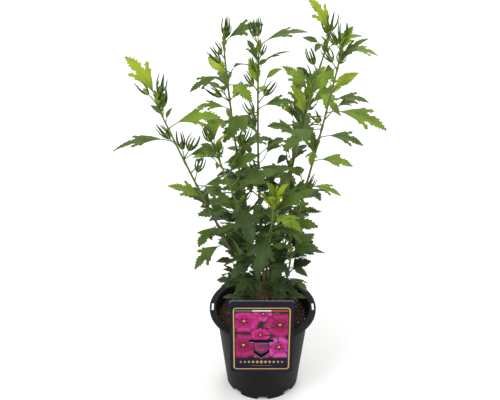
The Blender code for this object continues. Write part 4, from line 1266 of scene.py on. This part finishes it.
def newLeaf(root, heading, rise, length, droop, roll, fold, sunk, tint):
    # low leaves have broad lobes, and those higher up are narrower
    height = ramp(root.z, growth["broadBelow"], growth["narrowAbove"])
    breadth = growth["broadLeaf"] + (growth["narrowLeaf"] - growth["broadLeaf"]) * height
    return dict(root=root, heading=heading, rise=rise + droop / 2, droop=droop, length=length, roll=roll,
                fold=fold, petiole=length * growth["petiole"] + sunk, breadth=breadth, tint=tint)


def nodeShare(cane, i):
    span = growth["nodesSpan"] - growth["bare"]
    return growth["bare"] + growth["firstNode"] + span * (i / (cane["nodes"] - 1))


def tintAt(cane, i, height):
    # one painted tint for all that grows at a node: shade on low inner nodes, light near the tips
    sway = sin(len(cane["name"]) * 1.7 + i * 2.3)
    light = (height - growth["lightFrom"]) / growth["lightSpan"] + growth["lightSway"] * sway
    return next(tint for tint, upTo in growth["tints"] if light < upTo)


def growNodes(cane, mine, guards):
    dice = random.Random(f"{cane['name']} {cane['seed']}")
    g, named = growth, [leaf[0] for leaf in cane.get("leaves", ())]
    for i in range(cane["nodes"]):
        height, share = i / (cane["nodes"] - 1), nodeShare(cane, i)
        axis, radius = canePoint(cane, share), caneRadius(cane, share)
        size = (g["leafLow"] + (g["leafHigh"] - g["leafLow"]) * height) * dice.uniform(*g["sizeSpread"])
        heading = cane["first"] + i * cane["turn"] + spread(dice, g["headingSpread"])
        rise = g["riseLow"] + g["riseGain"] * height + dice.uniform(*g["riseSpread"])
        bent = dice.uniform(*g["droops"]), spread(dice, g["rolls"]), dice.uniform(*g["folds"])
        twigLength, twigTurn = dice.uniform(*g["twigLengths"]), spread(dice, g["twigTurn"])
        twigLeaves = [(dice.uniform(*g["twigLeafSizes"]), dice.uniform(*g["twigLeafTilts"]))
                      for _ in g["twigLeaves"]]
        budTurn, budRise = spread(dice, g["budTurn"]), dice.uniform(*g["budRises"])
        stalk, budSize = dice.uniform(*g["stalks"]), dice.uniform(*g["budSizes"])
        tint = tintAt(cane, i, axis.z)
        for upTo in (g["trueUpTo"], g["lowestUpTo"]):
            size = trueLength(size, axis.z, *upTo)
        if all(abs(share - other) > g["nodeRoom"] for other in named):
            leaf = newLeaf(axis, heading, rise, size, *bent, radius, tint)
            keep(guards, cane, mine, "leaves", leaf)
        if axis.z > g["budsAbove"] and i % 2 == 0:
            bud = dict(root=axis, heading=heading + budTurn, rise=budRise, stalk=stalk, size=budSize)
            keep(guards, cane, mine, "buds", bud)
        if height < g["twigUpTo"] and i % 2 == 1:
            twig = dict(root=axis, heading=heading + 90 + twigTurn, rise=g["twigRise"], length=twigLength)
            if not keep(guards, cane, mine, "twigs", twig):
                continue
            for (out, turn), (shareOfSize, tilt) in zip(g["twigLeaves"], twigLeaves):
                leaf = newLeaf(twigPoint(twig, out), twig["heading"] + turn, rise + tilt,
                               size * shareOfSize, *bent, g["twigTip"], tint)
                keep(guards, cane, mine, "leaves", leaf)


finer = {
    "first": 0.02, "span": 0.95, "turnShare": 0.5, "headingSpread": 50,
    "shootRises": (30, 60), "shootLengths": (0.010, 0.026),
    "leavesEach": (2, 3), "leaves": ((0.97, 10, 1), (0.75, -62, 0.8), (0.5, 66, 0.7)),  # out, turn, size
    "leafLengths": (0.021, 0.038), "turnSpread": 14, "rises": (-12, 46), "droops": (25, 60),
    "rolls": 30, "folds": (8, 24), "tries": (0, 30, -30),
    "lowBelow": 0.36,  # metres above the ground: fuller growth under this
    "lowLeaves": (0.036, 0.056),
    "tuft": 3, "tuftLeaves": (0.014, 0.028), "tuftFrom": 0.955, "tuftStep": 0.016, "tuftTurn": 137,
    # the tuft's tints are painted light on the topmost leaves
    "tuftRises": (48, 74), "tuftDroops": (20, 50), "tuftFolds": (20, 34), "tuftTints": ("bright", "young"),
    "budAt": 0.94, "budRises": (60, 82), "budStalks": (0.006, 0.014), "budSizes": (0.65, 0.95),
    "budTries": (0, 60, 120, 180, 240),
}


def growFiner(cane, mine, guards):
    # short shoots in the leaf axils, fuller growth low down, and a tuft of young leaves at the tip
    dice = random.Random(f"{cane['name']} shoots 0")
    f, count = finer, cane["finer"]
    for i in range(count):
        share = growth["bare"] + f["first"] + (f["span"] - growth["bare"]) * (i + dice.random()) / count
        axis = canePoint(cane, share)
        heading = cane["first"] + i * cane["turn"] * f["turnShare"] + spread(dice, f["headingSpread"])
        shoot = dict(root=axis, heading=heading, rise=dice.uniform(*f["shootRises"]),
                     length=dice.uniform(*f["shootLengths"]))
        if not keep(guards, cane, mine, "twigs", shoot):
            continue
        tint = tintAt(cane, i // 2, axis.z)
        lengths = f["lowLeaves"] if axis.z < f["lowBelow"] else f["leafLengths"]
        for out, turn, size in f["leaves"][:dice.randint(*f["leavesEach"])]:
            leaf = newLeaf(twigPoint(shoot, out), shoot["heading"] + turn + spread(dice, f["turnSpread"]),
                           dice.uniform(*f["rises"]), dice.uniform(*lengths) * size,
                           dice.uniform(*f["droops"]), spread(dice, f["rolls"]), dice.uniform(*f["folds"]),
                           growth["twigTip"], tint)
            keep(guards, cane, mine, "leaves", leaf, f["tries"])
    for k in range(f["tuft"]):
        leaf = newLeaf(canePoint(cane, f["tuftFrom"] + f["tuftStep"] * k), cane["first"] + f["tuftTurn"] * k,
                       dice.uniform(*f["tuftRises"]), dice.uniform(*cane.get("tuft", f["tuftLeaves"])),
                       dice.uniform(*f["tuftDroops"]), 0, dice.uniform(*f["tuftFolds"]),
                       growth["caneTip"], dice.choice(f["tuftTints"]))
        keep(guards, cane, mine, "leaves", leaf, f["tries"])
    if cane["tip"][2] > growth["budsAbove"]:
        bud = dict(root=canePoint(cane, f["budAt"]), heading=dice.uniform(0, 360),
                   rise=dice.uniform(*f["budRises"]), stalk=dice.uniform(*f["budStalks"]),
                   size=dice.uniform(*f["budSizes"]))
        keep(guards, cane, mine, "buds", bud, f["budTries"])


def growNamed(cane, mine, guards):
    g = growth
    for share, heading, rise, length, tint, *own in cane.get("leaves", ()):
        root, roll = canePoint(cane, share), own[0] if own else g["faceFront"] * cos(radians(heading))
        if root.z < g["narrowAbove"]:
            length = trueLength(min(length, g["namedLongest"]), root.z, *g["namedTrueUpTo"])
        leaf = newLeaf(root, heading, rise, length, g["droop"], roll, g["fold"], caneRadius(cane, share),
                       tint)
        keep(guards, cane, mine, "leaves", leaf)
    for share, heading, rise in cane.get("buds", ()):
        bud = dict(root=canePoint(cane, share), heading=heading, rise=rise, stalk=g["namedStalk"],
                   size=g["namedBud"])
        keep(guards, cane, mine, "buds", bud)


def planGrowth():
    guards = makeGuards()
    plan = {cane["name"]: {"twigs": [], "leaves": [], "buds": []} for cane in canes}
    for grow in (growNamed, growNodes, growFiner):
        for cane in canes:
            grow(cane, plan[cane["name"]], guards)
        print(f"  {grow.__name__}: {sum(len(mine['leaves']) for mine in plan.values())} leaves so far")
    return plan


# Leaves: flat forms with cut lobes and teeth, bent on to each leaf's own arc by a node tree

leafForms = (  # lobe tip, sinus, widest place of the middle lobe, teeth per stretch, depth of the teeth
    dict(lobe=(0.58, 0.36), sinus=(0.46, 0.10), wide=(0.68, 0.150), teeth=(2, 2, 2, 4), depth=0.066),
    dict(lobe=(0.62, 0.33), sinus=(0.44, 0.08), wide=(0.70, 0.135), teeth=(2, 2, 2, 4), depth=0.070),
    dict(lobe=(0.54, 0.35), sinus=(0.50, 0.13), wide=(0.72, 0.170), teeth=(3, 1, 2, 3), depth=0.064),
    dict(lobe=(0.40, 0.26), sinus=(0.46, 0.22), wide=(0.58, 0.230), teeth=(2, 1, 2, 5), depth=0.056),
)
leafLook = {  # lengths are shares of the leaf's own, but for the thickness and the two limits below it
    "thickness": 0.00036,
    "smallBelow": 0.034,
    "lobedFrom": 0.066,
    "steep": 72,  # young leaves that leave the stem less steeply than this are broad
    "foot": (0.0, 0.012), "tip": (0.985, 0.010), "lobeTip": (0.024, 0.010),
    "wedge": (0.14, 0.32, 0.54),  # how far along to the lobe the smooth base reaches
    "wedgeBulge": 0.020,
    "toothForm": ((0.34, 0.34), (0.80, 1.0), (0.94, 0.0)),  # along and out
    "toothSizes": (0.75, 1.2), "depths": (0.8, 0.6, 0.8, 1), "fades": (0, 0.5, 0, 0.55),
    "veins": ((0.05, 6), (0.26, 3), (0.46, 4), (0.62, 3), (0.78, 2)),  # start on the rib, steps
    "ribTo": 0.98, "ribSteps": 12, "veinBow": (0.03, -0.02), "veinRoom": (0.008, 0.016),
    "veinSink": 0.0065, "veinWidth": 0.020,
    "grid": (0.055, 0.87), "gridFrom": 0.02, "jitter": 0.006, "edgeRoom": 0.022, "halfWidth": 0.42,
    "lobeSag": 0.42, "ripple": 0.035, "waves": 17, "twist": 16, "seed": 8,
    "upper": dict(vary=0.28, grain=44, bump=0.00012, bumpGrain=1300, shine=0.16),
    "under": dict(roughness=0.66, vary=0.12, grain=36, bump=0.0001, bumpGrain=900, shine=0.1),
}


def toothed(start, end, count, depth, dice, fade):
    # saw teeth that lean forward along a stretch
    out = Vector((start.y - end.y, end.x - start.x)).normalized()
    points = []
    for k in range(count):
        size = depth * dice.uniform(*leafLook["toothSizes"]) * (1 - fade * k / count)
        points += [start.lerp(end, (k + part) / count) + out * size * rise
                   for part, rise in leafLook["toothForm"]]
    return points


def halfOutline(form, dice):
    k, lobe, sinus, wide = leafLook, Vector(form["lobe"]), Vector(form["sinus"]), Vector(form["wide"])
    base = [lobe * t + Vector((0, k["wedgeBulge"] * sin(pi * t))) for t in k["wedge"]]
    points = [Vector(k["foot"]), *base]
    corners = (base[-1], lobe, sinus, wide, Vector(k["tip"]))
    ends = ([lobe + Vector(k["lobeTip"])], [sinus], [], [])
    for i, (start, end) in enumerate(zip(corners, corners[1:])):
        depth = form["depth"] * k["depths"][i]
        points += toothed(start, end, form["teeth"][i], depth, dice, k["fades"][i]) + ends[i]
    return points


def veinLines(form):
    # rib, then pairs of side veins to the lobe and to the teeth
    k, lobe, wide = leafLook, Vector(form["lobe"]), Vector(form["wide"])
    lines = [[Vector((k["ribTo"] * i / k["ribSteps"], 0)) for i in range(k["ribSteps"] + 1)]]
    ends = (lobe * 0.93, Vector((0.43, lobe.y * 0.40)), wide * 0.92, Vector((0.80, wide.y * 0.62)),
            Vector((0.89, 0.05)))
    for side in (1, -1):
        for (start, steps), end in zip(k["veins"], ends):
            line = [Vector((start, 0)).lerp(end, i / steps) + Vector(k["veinBow"]) * sin(pi * i / steps)
                    for i in range(steps + 1)]
            lines.append([Vector((point.x, side * point.y)) for point in line])
    return lines


def segmentGap(point, a, b):
    along = max(0, min(1, (point - a).dot(b - a) / max((b - a).length_squared, 1e-12)))
    return (point - a.lerp(b, along)).length


def insideOutline(point, outline):
    inside = False
    for a, b in zip(outline, outline[1:] + outline[:1]):
        if (a.y > point.y) != (b.y > point.y):
            if point.x < (b.x - a.x) * (point.y - a.y) / (b.y - a.y) + a.x:
                inside = not inside
    return inside


def leafForm(form, seed):
    k, dice = leafLook, random.Random(seed)
    left = halfOutline(form, dice)
    right = [Vector((p.x, -p.y)) for p in halfOutline(form, dice)]
    outline = right + [Vector((1.0, 0))] + left[::-1]
    rim = list(zip(outline, outline[1:] + outline[:1]))
    points, edges, veins = list(outline), [(i, (i + 1) % len(outline)) for i in range(len(outline))], []
    endRoom, besideRoom = k["veinRoom"]

    def isInside(point, room):
        return insideOutline(point, outline) and min(segmentGap(point, a, b) for a, b in rim) > room

    for line in veinLines(form):
        inner = [point for point in line if isInside(point, endRoom)]
        for a, b in zip(inner, inner[1:]):
            veins.append((a, b))
            edges.append((len(points), len(points) + 1))
            points += [a, b]
    # loose points between the veins, so that the blade can bend
    (step, rowShare), row, y = k["grid"], 0, -k["halfWidth"]
    while y < k["halfWidth"]:
        x = k["gridFrom"] + step * 0.5 * (row % 2)
        while x < 1:
            point = Vector((x + spread(dice, k["jitter"]), y + spread(dice, k["jitter"])))
            if isInside(point, k["edgeRoom"]) and min(segmentGap(point, a, b) for a, b in veins) > besideRoom:
                points.append(point)
            x += step
        y += step * rowShare
        row += 1
    flat, _, faces, *_ = delaunay_2d_cdt(points, edges, [], 1, 1e-5)
    verts = []
    for p in flat:
        gap = min(segmentGap(p, a, b) for a, b in veins)
        sink = k["veinSink"] * exp(-(gap / k["veinWidth"]) ** 2)
        verts.append((p.x, p.y, -sink - k["lobeSag"] * p.y * p.y))
    made = meshObject("form", verts, faces)
    bm = bmesh.new()
    bm.from_mesh(made.data)
    bmesh.ops.recalc_face_normals(bm, faces=bm.faces)
    if sum(f.normal.z for f in bm.faces) < 0:
        bmesh.ops.reverse_faces(bm, faces=bm.faces)
    bm.to_mesh(made.data)
    bm.free()
    store(made, "flat", [v.co.copy() for v in made.data.vertices], "FLOAT_VECTOR")
    return made


leafFacts = ("heading", "rise", "droop", "length", "roll", "fold", "petiole", "breadth", "wave", "twist")


def bladeTree():
    # picks a flat form for each leaf and bends it on to that leaf's arc
    tree, start, end = newTree("leaf_blades", {"Shapes": "Collection", "Ripple": "Float",
                                               "Surface": "Material"})
    given = start.outputs
    body = addNode(tree, "GeometryNodeRealizeInstances", {"Geometry": pickedForms(tree, given)})
    flat = stored(tree, "flat", "FLOAT_VECTOR")
    roots = vectorNode(tree, "SUBTRACT", addNode(tree, "GeometryNodeInputPosition"), flat)

    def split(source):
        node = tree.nodes.new("ShaderNodeSeparateXYZ")
        tree.links.new(source, node.inputs[0])
        return [Field(tree, socket) for socket in node.outputs]

    rootX, rootY, rootZ = split(roots)
    along, across, lift = split(flat)
    heading, rise, droop, length, roll, fold, petiole, breadth, wave, twist = (
        Field(tree, stored(tree, name)) for name in leafFacts)
    across = across * breadth / growth["broadLeaf"]
    bending = droop / length
    here = rise - droop * along
    forward, upward = (rise.sin() - here.sin()) / bending, (here.cos() - rise.cos()) / bending
    # the edges ripple most, where the blade is twice this far across
    edge = across * across * (along * leafLook["waves"] + wave).sin() * Field(tree, given["Ripple"]) * 4
    turnBy = roll + twist * along
    out = across * length * fold.cos()
    proud = (across.abs() * fold.sin() + lift + edge) * length
    tilted = out * turnBy.sin() + proud * turnBy.cos()
    stalkRise = rise + radians(growth["petioleLift"])
    x = forward - here.sin() * tilted + stalkRise.cos() * petiole
    y = out * turnBy.cos() - proud * turnBy.sin()
    z = upward + here.cos() * tilted + stalkRise.sin() * petiole
    place = tree.nodes.new("ShaderNodeCombineXYZ")
    for value, socket in zip((rootX + heading.cos() * x - heading.sin() * y,
                              rootY + heading.sin() * x + heading.cos() * y, rootZ + z), place.inputs):
        tree.links.new(value.socket, socket)
    body = addNode(tree, "GeometryNodeSetPosition", {"Geometry": body, "Position": place.outputs[0]})
    return closeTree(tree, body, end, given["Surface"])


# the tints paint light and shade on one leaf green: dark is painted shade, mid and bright are painted light,
# and young is the paler colour of young leaves with painted light on it
leafTints = {  # screen colours of the upper side and the underside, and gloss
    "young": ((133, 151, 38), (128, 145, 50), 0.52),
    "bright": ((102, 126, 34), (112, 132, 52), 0.52),
    "mid": ((72, 94, 32), (94, 112, 54), 0.52),
    "dark": ((50, 67, 31), (76, 92, 50), 0.52),
}


def formFor(leaf, dice):
    isYoung = leaf["tint"] == "young"
    if isYoung and leaf["length"] > leafLook["lobedFrom"]:
        return 1
    if leaf["length"] < leafLook["smallBelow"] or isYoung and leaf["rise"] < leafLook["steep"]:
        return 3
    return dice.choice((0, 0, 2) if leaf["tint"] == "dark" else (0, 1, 1, 2))


def makeLeaves(plan, masses):
    tree = bladeTree()
    forms = shapeSet("leafForm", [leafForm(form, i) for i, form in enumerate(leafForms)])
    dice = random.Random(leafLook["seed"])
    leaves = [leaf for mine in plan.values() for leaf in mine["leaves"]]
    for leaf in leaves:
        leaf["form"] = formFor(leaf, dice)
        leaf["wave"], leaf["twist"] = dice.uniform(0, 2 * pi), spread(dice, leafLook["twist"])
    for tint, (colour, paler, roughness) in leafTints.items():
        mine = [leaf for leaf in leaves if leaf["tint"] == tint]
        made = meshObject(f"leaves_{tint}", [leaf["root"] for leaf in mine], [])
        for fact in leafFacts:
            scaled = 1 if fact in ("length", "petiole", "breadth", "wave") else radians(1)
            store(made, fact, [leaf[fact] * scaled for leaf in mine])
        store(made, "form", [leaf["form"] for leaf in mine], "INT")
        surface = finish(f"leaf_{tint}", linear(*colour), roughness, **leafLook["upper"])
        runTree(made, tree, {"Shapes": forms, "Ripple": leafLook["ripple"], "Surface": surface})
        settle(made)
        made.data.materials.append(finish(f"leaf_{tint}_under", linear(*paler), **leafLook["under"]))
        body = made.modifiers.new("body", "SOLIDIFY")
        body.thickness, body.offset, body.material_offset = leafLook["thickness"], 0, 1
        clean(settle(made)).data.shade_smooth()
        addPiece(made, masses)
    clearSet(forms)


def clean(thing):
    # drops the helper attributes that the tree worked from
    for name in [a.name for a in thing.data.attributes]:
        if name in leafFacts + ("form", "flat", "turn", "size", "thick"):
            thing.data.attributes.remove(thing.data.attributes[name])
    return thing


# Stems, leaf stalks and ribs

stemLook = {
    "step": 0.004, "nodeSwell": (0.32, 0.0035),  # how much thicker, and how far along
    "tip": (0.97, 0.55),  # from there the cane narrows by so much
    "sunk": 0.004, "woodyUpTo": 0.46, "woodRun": (1, 1, 0.16),  # the relief is drawn out upwards
    "twig": (1.1, 0.5), "twigPoints": (0, 0.25, 0.5, 0.75, 1),  # thickness at its foot, and what it loses
    "stalkRadius": 0.00080, "smallStalk": (0.55, 0.06), "stalkSag": 0.05,
    "stalkForm": ((0, 1.5, 0), (0.25, 1.15, 1), (0.6, 1, 1), (0.88, 1, 0.3)),  # along, thickness, sag
    "ribPoints": 5, "ribUpTo": 0.86, "ribUnder": 0.0003, "rib": (0.95, 0.80),
    "budStalk": 0.00090, "budStalkForm": (1.2, 0.3), "budStalkSag": 0.001,
    "budStalkPoints": (0, 0.3, 0.6, 1.04),
    "skins": (  # name, screen colour, sides, step, relief
        ("stems_woody", (88, 86, 46), 12, 0.0032, 0.0005),
        ("stems_green", (88, 104, 42), 10, 0.0032, 0.00025),
        ("leaf_stalks", (82, 98, 40), 6, 0.0042, 0.0)),
    "finish": dict(roughness=0.55, vary=0.20, grain=160, bump=0.00015, bumpGrain=1100,
                   stretch=(1, 1, 0.3), shine=0.35),
}


def canePath(cane, start, end, nodes):
    (swell, swellReach), (tipFrom, tipLoss) = stemLook["nodeSwell"], stemLook["tip"]
    steps = max(6, round(caneLength(cane) * (end - start) / stemLook["step"]))
    path = []
    for i in range(steps + 1):
        share = start + (end - start) * i / steps
        near = sum(exp(-((share - node) * caneLength(cane) / swellReach) ** 2) for node in nodes)
        radius = caneRadius(cane, share) * (1 + swell * min(1, near))
        radius *= 1 - tipLoss * max(0, share - tipFrom) / (1 - tipFrom)
        path.append((canePoint(cane, share), radius))
    return path


def stalkPath(leaf):
    # the leaf stalk, carried on under the blade as its rib
    s, root, base = stemLook, leaf["root"], leafBase(leaf)
    (least, full), (ribThick, ribLoss) = s["smallStalk"], s["rib"]
    thick = s["stalkRadius"] * (least + (1 - least) * min(1, leaf["length"] / full))
    sag = up * leaf["petiole"] * s["stalkSag"]
    path = [(root.lerp(base, t) + sag * down, thick * wide) for t, wide, down in s["stalkForm"]]
    under = up * (leafLook["veinSink"] * leaf["length"] + s["ribUnder"])
    for i in range(s["ribPoints"] + 1):
        t = i / s["ribPoints"]
        point = leafPoint(leaf, s["ribUpTo"] * t, 0) - under * min(1, i)
        path.append((point, thick * (ribThick - ribLoss * t)))
    return path


def budStalkPath(bud):
    way, (foot, loss) = headingVector(bud["heading"], bud["rise"]), stemLook["budStalkForm"]
    return [(bud["root"] + way * bud["stalk"] * t + up * stemLook["budStalkSag"] * sin(pi * t),
             stemLook["budStalk"] * (foot - loss * t)) for t in stemLook["budStalkPoints"]]


def makeStems(plan, masses):
    s, woody, green, stalks = stemLook, [], [], []
    twigFoot, twigLoss = s["twig"]
    for cane in canes:
        mine = plan[cane["name"]]
        nodes = [nodeShare(cane, i) for i in range(cane["nodes"])]
        nodes += [leaf[0] for leaf in cane.get("leaves", ())]
        begin = growth["bare"] - s["sunk"] / caneLength(cane)
        woody.append(canePath(cane, begin, s["woodyUpTo"], nodes))
        green.append(canePath(cane, s["woodyUpTo"], 1, nodes))
        for twig in mine["twigs"]:
            green.append([(twigPoint(twig, t), growth["twigRadius"] * (twigFoot - twigLoss * t))
                          for t in s["twigPoints"]])
        stalks += [stalkPath(leaf) for leaf in mine["leaves"]] + [budStalkPath(bud) for bud in mine["buds"]]
    for paths, (name, colour, sides, step, relief) in zip((woody, green, stalks), s["skins"]):
        surface = finish(f"{name}_skin", linear(*colour), **s["finish"])
        addPiece(clean(tubes(name, paths, surface, sides, step, relief)), masses)


# Buds: a ribbed green cup in a crown of thin claws

budLook = {
    "rings": 9, "sides": 15, "cup": (0.98, 1.02, 0.80, 0.75),  # width, then the fullness of its curve
    "ribs": (5, 0.09),
    "claws": ((4, 0.85, 0.15), (5, 1.1, 0.35), (5, 0.75, 0.45)),  # how many, spread, curl
    "clawThick": 0.00128, "clawLength": 0.0262, "clawLengths": (0.74, 1.03), "clawTurn": 0.18,
    "clawSpreads": (0.8, 1.15), "clawFoot": (0.0012, 0.0006), "clawSwing": 1.25, "clawLean": 0.10,
    "clawForm": ((0, 1), (0.16, 1.1), (0.36, 1.05), (0.6, 0.95), (0.82, 0.76), (1, 0.36)),  # along, thickness
    "clawSection": ((0.8, 0, -0.3), (0, 1.15, 0), (-0.8, 0, 0.3), (0, -1.15, 0)), "seed": 3,
    "cupFinish": dict(colour=linear(112, 130, 50), roughness=0.5, vary=0.18, grain=300, bump=0.0001,
                      bumpGrain=1500, shine=0.2),
    "clawFinish": dict(colour=linear(58, 80, 32), roughness=0.55, vary=0.22, grain=300,
                       shine=0.15),
}


def cupForm():
    wide, stretch, low, full = budLook["cup"]
    ribs, depth = budLook["ribs"]
    profile = []
    for t in (i / budLook["rings"] for i in range(budLook["rings"] + 1)):
        share = wide * sin(pi * min(1, t * stretch) ** low) ** full if 0 < t < 1 else 0
        profile.append((growth["budRadius"] * share, growth["budHeight"] * t))
    cup = lathe("form", profile[::-1], budLook["sides"])
    for v in cup.data.vertices:
        groove = 1 - depth * (0.5 + 0.5 * cos(ribs * atan2(v.co.y, v.co.x)))
        v.co.x *= groove
        v.co.y *= groove
    return cup


def clawForm(count, wide, curl, seed):
    # narrow bracts that leave the cup's foot, swing out and curve up
    b, dice = budLook, random.Random(seed)
    bm = bmesh.new()
    for k in range(count):
        turn = Matrix.Rotation(2 * pi * (k + spread(dice, b["clawTurn"])) / count, 3, "Z")
        length = b["clawLength"] * dice.uniform(*b["clawLengths"])
        away = length * growth["bractSpread"] * wide * dice.uniform(*b["clawSpreads"])
        footOut, footUp = b["clawFoot"]
        rows = []
        for t, share in b["clawForm"]:
            radius = footOut + away * sin(min(1, t * b["clawSwing"]) * pi / 2) * (1 - curl * t * t)
            centre = Vector((radius, 0, footUp + length * (t - b["clawLean"] * sin(pi * t))))
            rows.append([bm.verts.new(turn @ (centre + Vector(corner) * b["clawThick"] * share))
                         for corner in b["clawSection"]])
        for low, high in zip(rows, rows[1:]):
            bridge(bm, low, high)
        bm.faces.new(rows[0][::-1])
        bm.faces.new(rows[-1])
    return fromBmesh("form", bm)


def makeBuds(plan, masses):
    cups = shapeSet("cupForm", [cupForm()])
    claws = shapeSet("clawForm", [clawForm(*form, i) for i, form in enumerate(budLook["claws"])])
    dice = random.Random(budLook["seed"])
    cupPlaces, clawPlaces = [], []
    for bud in (bud for mine in plan.values() for bud in mine["buds"]):
        way = headingVector(bud["heading"], bud["rise"])
        turn = way.to_track_quat("Z", "Y").to_matrix() @ Matrix.Rotation(dice.uniform(0, 2 * pi), 3, "Z")
        place = (bud["root"] + way * bud["stalk"], turn, bud["size"])
        cupPlaces.append((*place, 0))
        clawPlaces.append((*place, dice.randrange(len(budLook["claws"]))))
    for name, places, shapes, surface in (
            ("bud_cups", cupPlaces, cups, finish("bud_cup_skin", **budLook["cupFinish"])),
            ("bud_claws", clawPlaces, claws, finish("bud_claw_skin", **budLook["clawFinish"]))):
        addPiece(clean(scatter(name, places, shapes, surface)), masses)
        clearSet(shapes)


# Trunk: the stool and the bare feet of the canes under one skin of bark

barkLook = {
    "grain": 620.0, "relief": 0.0011, "woodRun": (1, 1, 0.22), "voxel": 0.0006, "soften": (0.5, 4),
    "stoolSides": 72, "sunk": 0.001,
    "crown": ((0.8, 0.0002), (1, 0.0022)),  # share of the radius, drop
    "neck": ((0.3, 1), (0.6, 1.03), (0.9, 1.06)),  # how far down to the shoulder, share of the radius
    "shoulder": ((0.86, 0.0004), (1, 0.0022)), "foot": ((0.98, 0.97), (0.003, 0.0008)),
    "swell": (0.07, 2.2, 60),  # how much, and its grain round and up
    "limbSides": 14, "limbStep": 0.003, "limbShares": (0.1, 0.25, 0.4, 0.55, 0.7, 0.85, 1),
    "limbFoot": (0.007, 1.9, 1.35), "limbAim": 0.03, "limbFlare": (0.35, 7),
    "finish": dict(colour=linear(112, 92, 66), roughness=0.82, vary=0.34, grain=170, bump=0.0004,
                   bumpGrain=800, stretch=(1, 1, 0.35), spots=(linear(146, 128, 98), 330, 0.62),
                   shine=0.25),
}


def barkTree():
    tree, start, end = newTree("bark_relief", {"Relief": "Float", "Grain": "Float", "Surface": "Material"})
    given = start.outputs
    body = grained(tree, given["Geometry"], given["Relief"], given["Grain"], barkLook["woodRun"])
    return closeTree(tree, body, end, given["Surface"], isSmooth=False)


def makeStool():
    s, b, foot = stoolSizes, barkLook, soilHigh[2] + growth["gap"]
    top, shoulder = foot + s["height"], foot + s["shoulder"]
    (lowWide, footWide), (lowUp, footUp) = b["foot"]
    profile = [(0, top)] + [(s["topRadius"] * wide, top - drop) for wide, drop in b["crown"]]
    profile += [(s["topRadius"] * wide, top + (shoulder - top) * t) for t, wide in b["neck"]]
    profile += [(s["shoulderRadius"] * wide, shoulder - drop) for wide, drop in b["shoulder"]]
    profile += [(s["shoulderRadius"] * lowWide, foot + lowUp), (s["footRadius"] * footWide, foot + footUp),
                (s["footRadius"], foot - b["sunk"]), (0, foot - b["sunk"])]
    stool = lathe("stool", profile, b["stoolSides"])
    swell, around, upward = b["swell"]
    for v in stool.data.vertices:
        angle = atan2(v.co.y, v.co.x)
        spot = Vector((cos(angle) * around, sin(angle) * around, v.co.z * upward))
        share = 1 + swell * noise.noise(spot)
        v.co.x, v.co.y = v.co.x * share + s["shift"], v.co.y * share
    return stool


def barePath(cane):
    # the cane from inside the stool to where its foliage begins
    foot, bare, (sunk, lowest, low) = caneFoot(cane), growth["bare"], barkLook["limbFoot"]
    flare, fall = barkLook["limbFlare"]
    down = foot - (canePoint(cane, barkLook["limbAim"]) - foot).normalized() * sunk
    return [(down, caneRadius(cane, 0) * lowest), (foot, caneRadius(cane, 0) * low)] + [
        (canePoint(cane, bare * t), caneRadius(cane, bare * t) * (1 + flare * exp(-t * fall)))
        for t in barkLook["limbShares"]]


def makeTrunk():
    b, bark = barkLook, finish("bark", **barkLook["finish"])
    limbs = tubes("bough_tubes", [barePath(cane) for cane in canes], bark, b["limbSides"], b["limbStep"], 0.0)
    trunk = join("trunk_bark", [makeStool(), limbs])
    fuse = trunk.modifiers.new("fuse", "REMESH")
    fuse.mode, fuse.voxel_size = "VOXEL", b["voxel"]
    soften = trunk.modifiers.new("soften", "SMOOTH")
    soften.factor, soften.iterations = b["soften"]
    runTree(trunk, barkTree(), {"Relief": b["relief"], "Grain": b["grain"], "Surface": bark})
    clean(settle(trunk)).data.shade_smooth()
    addPiece(trunk, ["stool"] + [f"bough_{cane['name']}" for cane in canes])


makeCamera()
makeStudio()
print("studio ready")
limbTree, setTree = tubeTree(), scatterTree()
print("pot, soil and label")
makePot()
makeSoil()
makeLabel()
foliage = [f"foliage_{cane['name']}" for cane in canes]
grown = planGrowth()
print("trunk and stems")
makeTrunk()
makeStems(grown, foliage)
print("leaves and buds")
makeLeaves(grown, foliage)
makeBuds(grown, foliage)
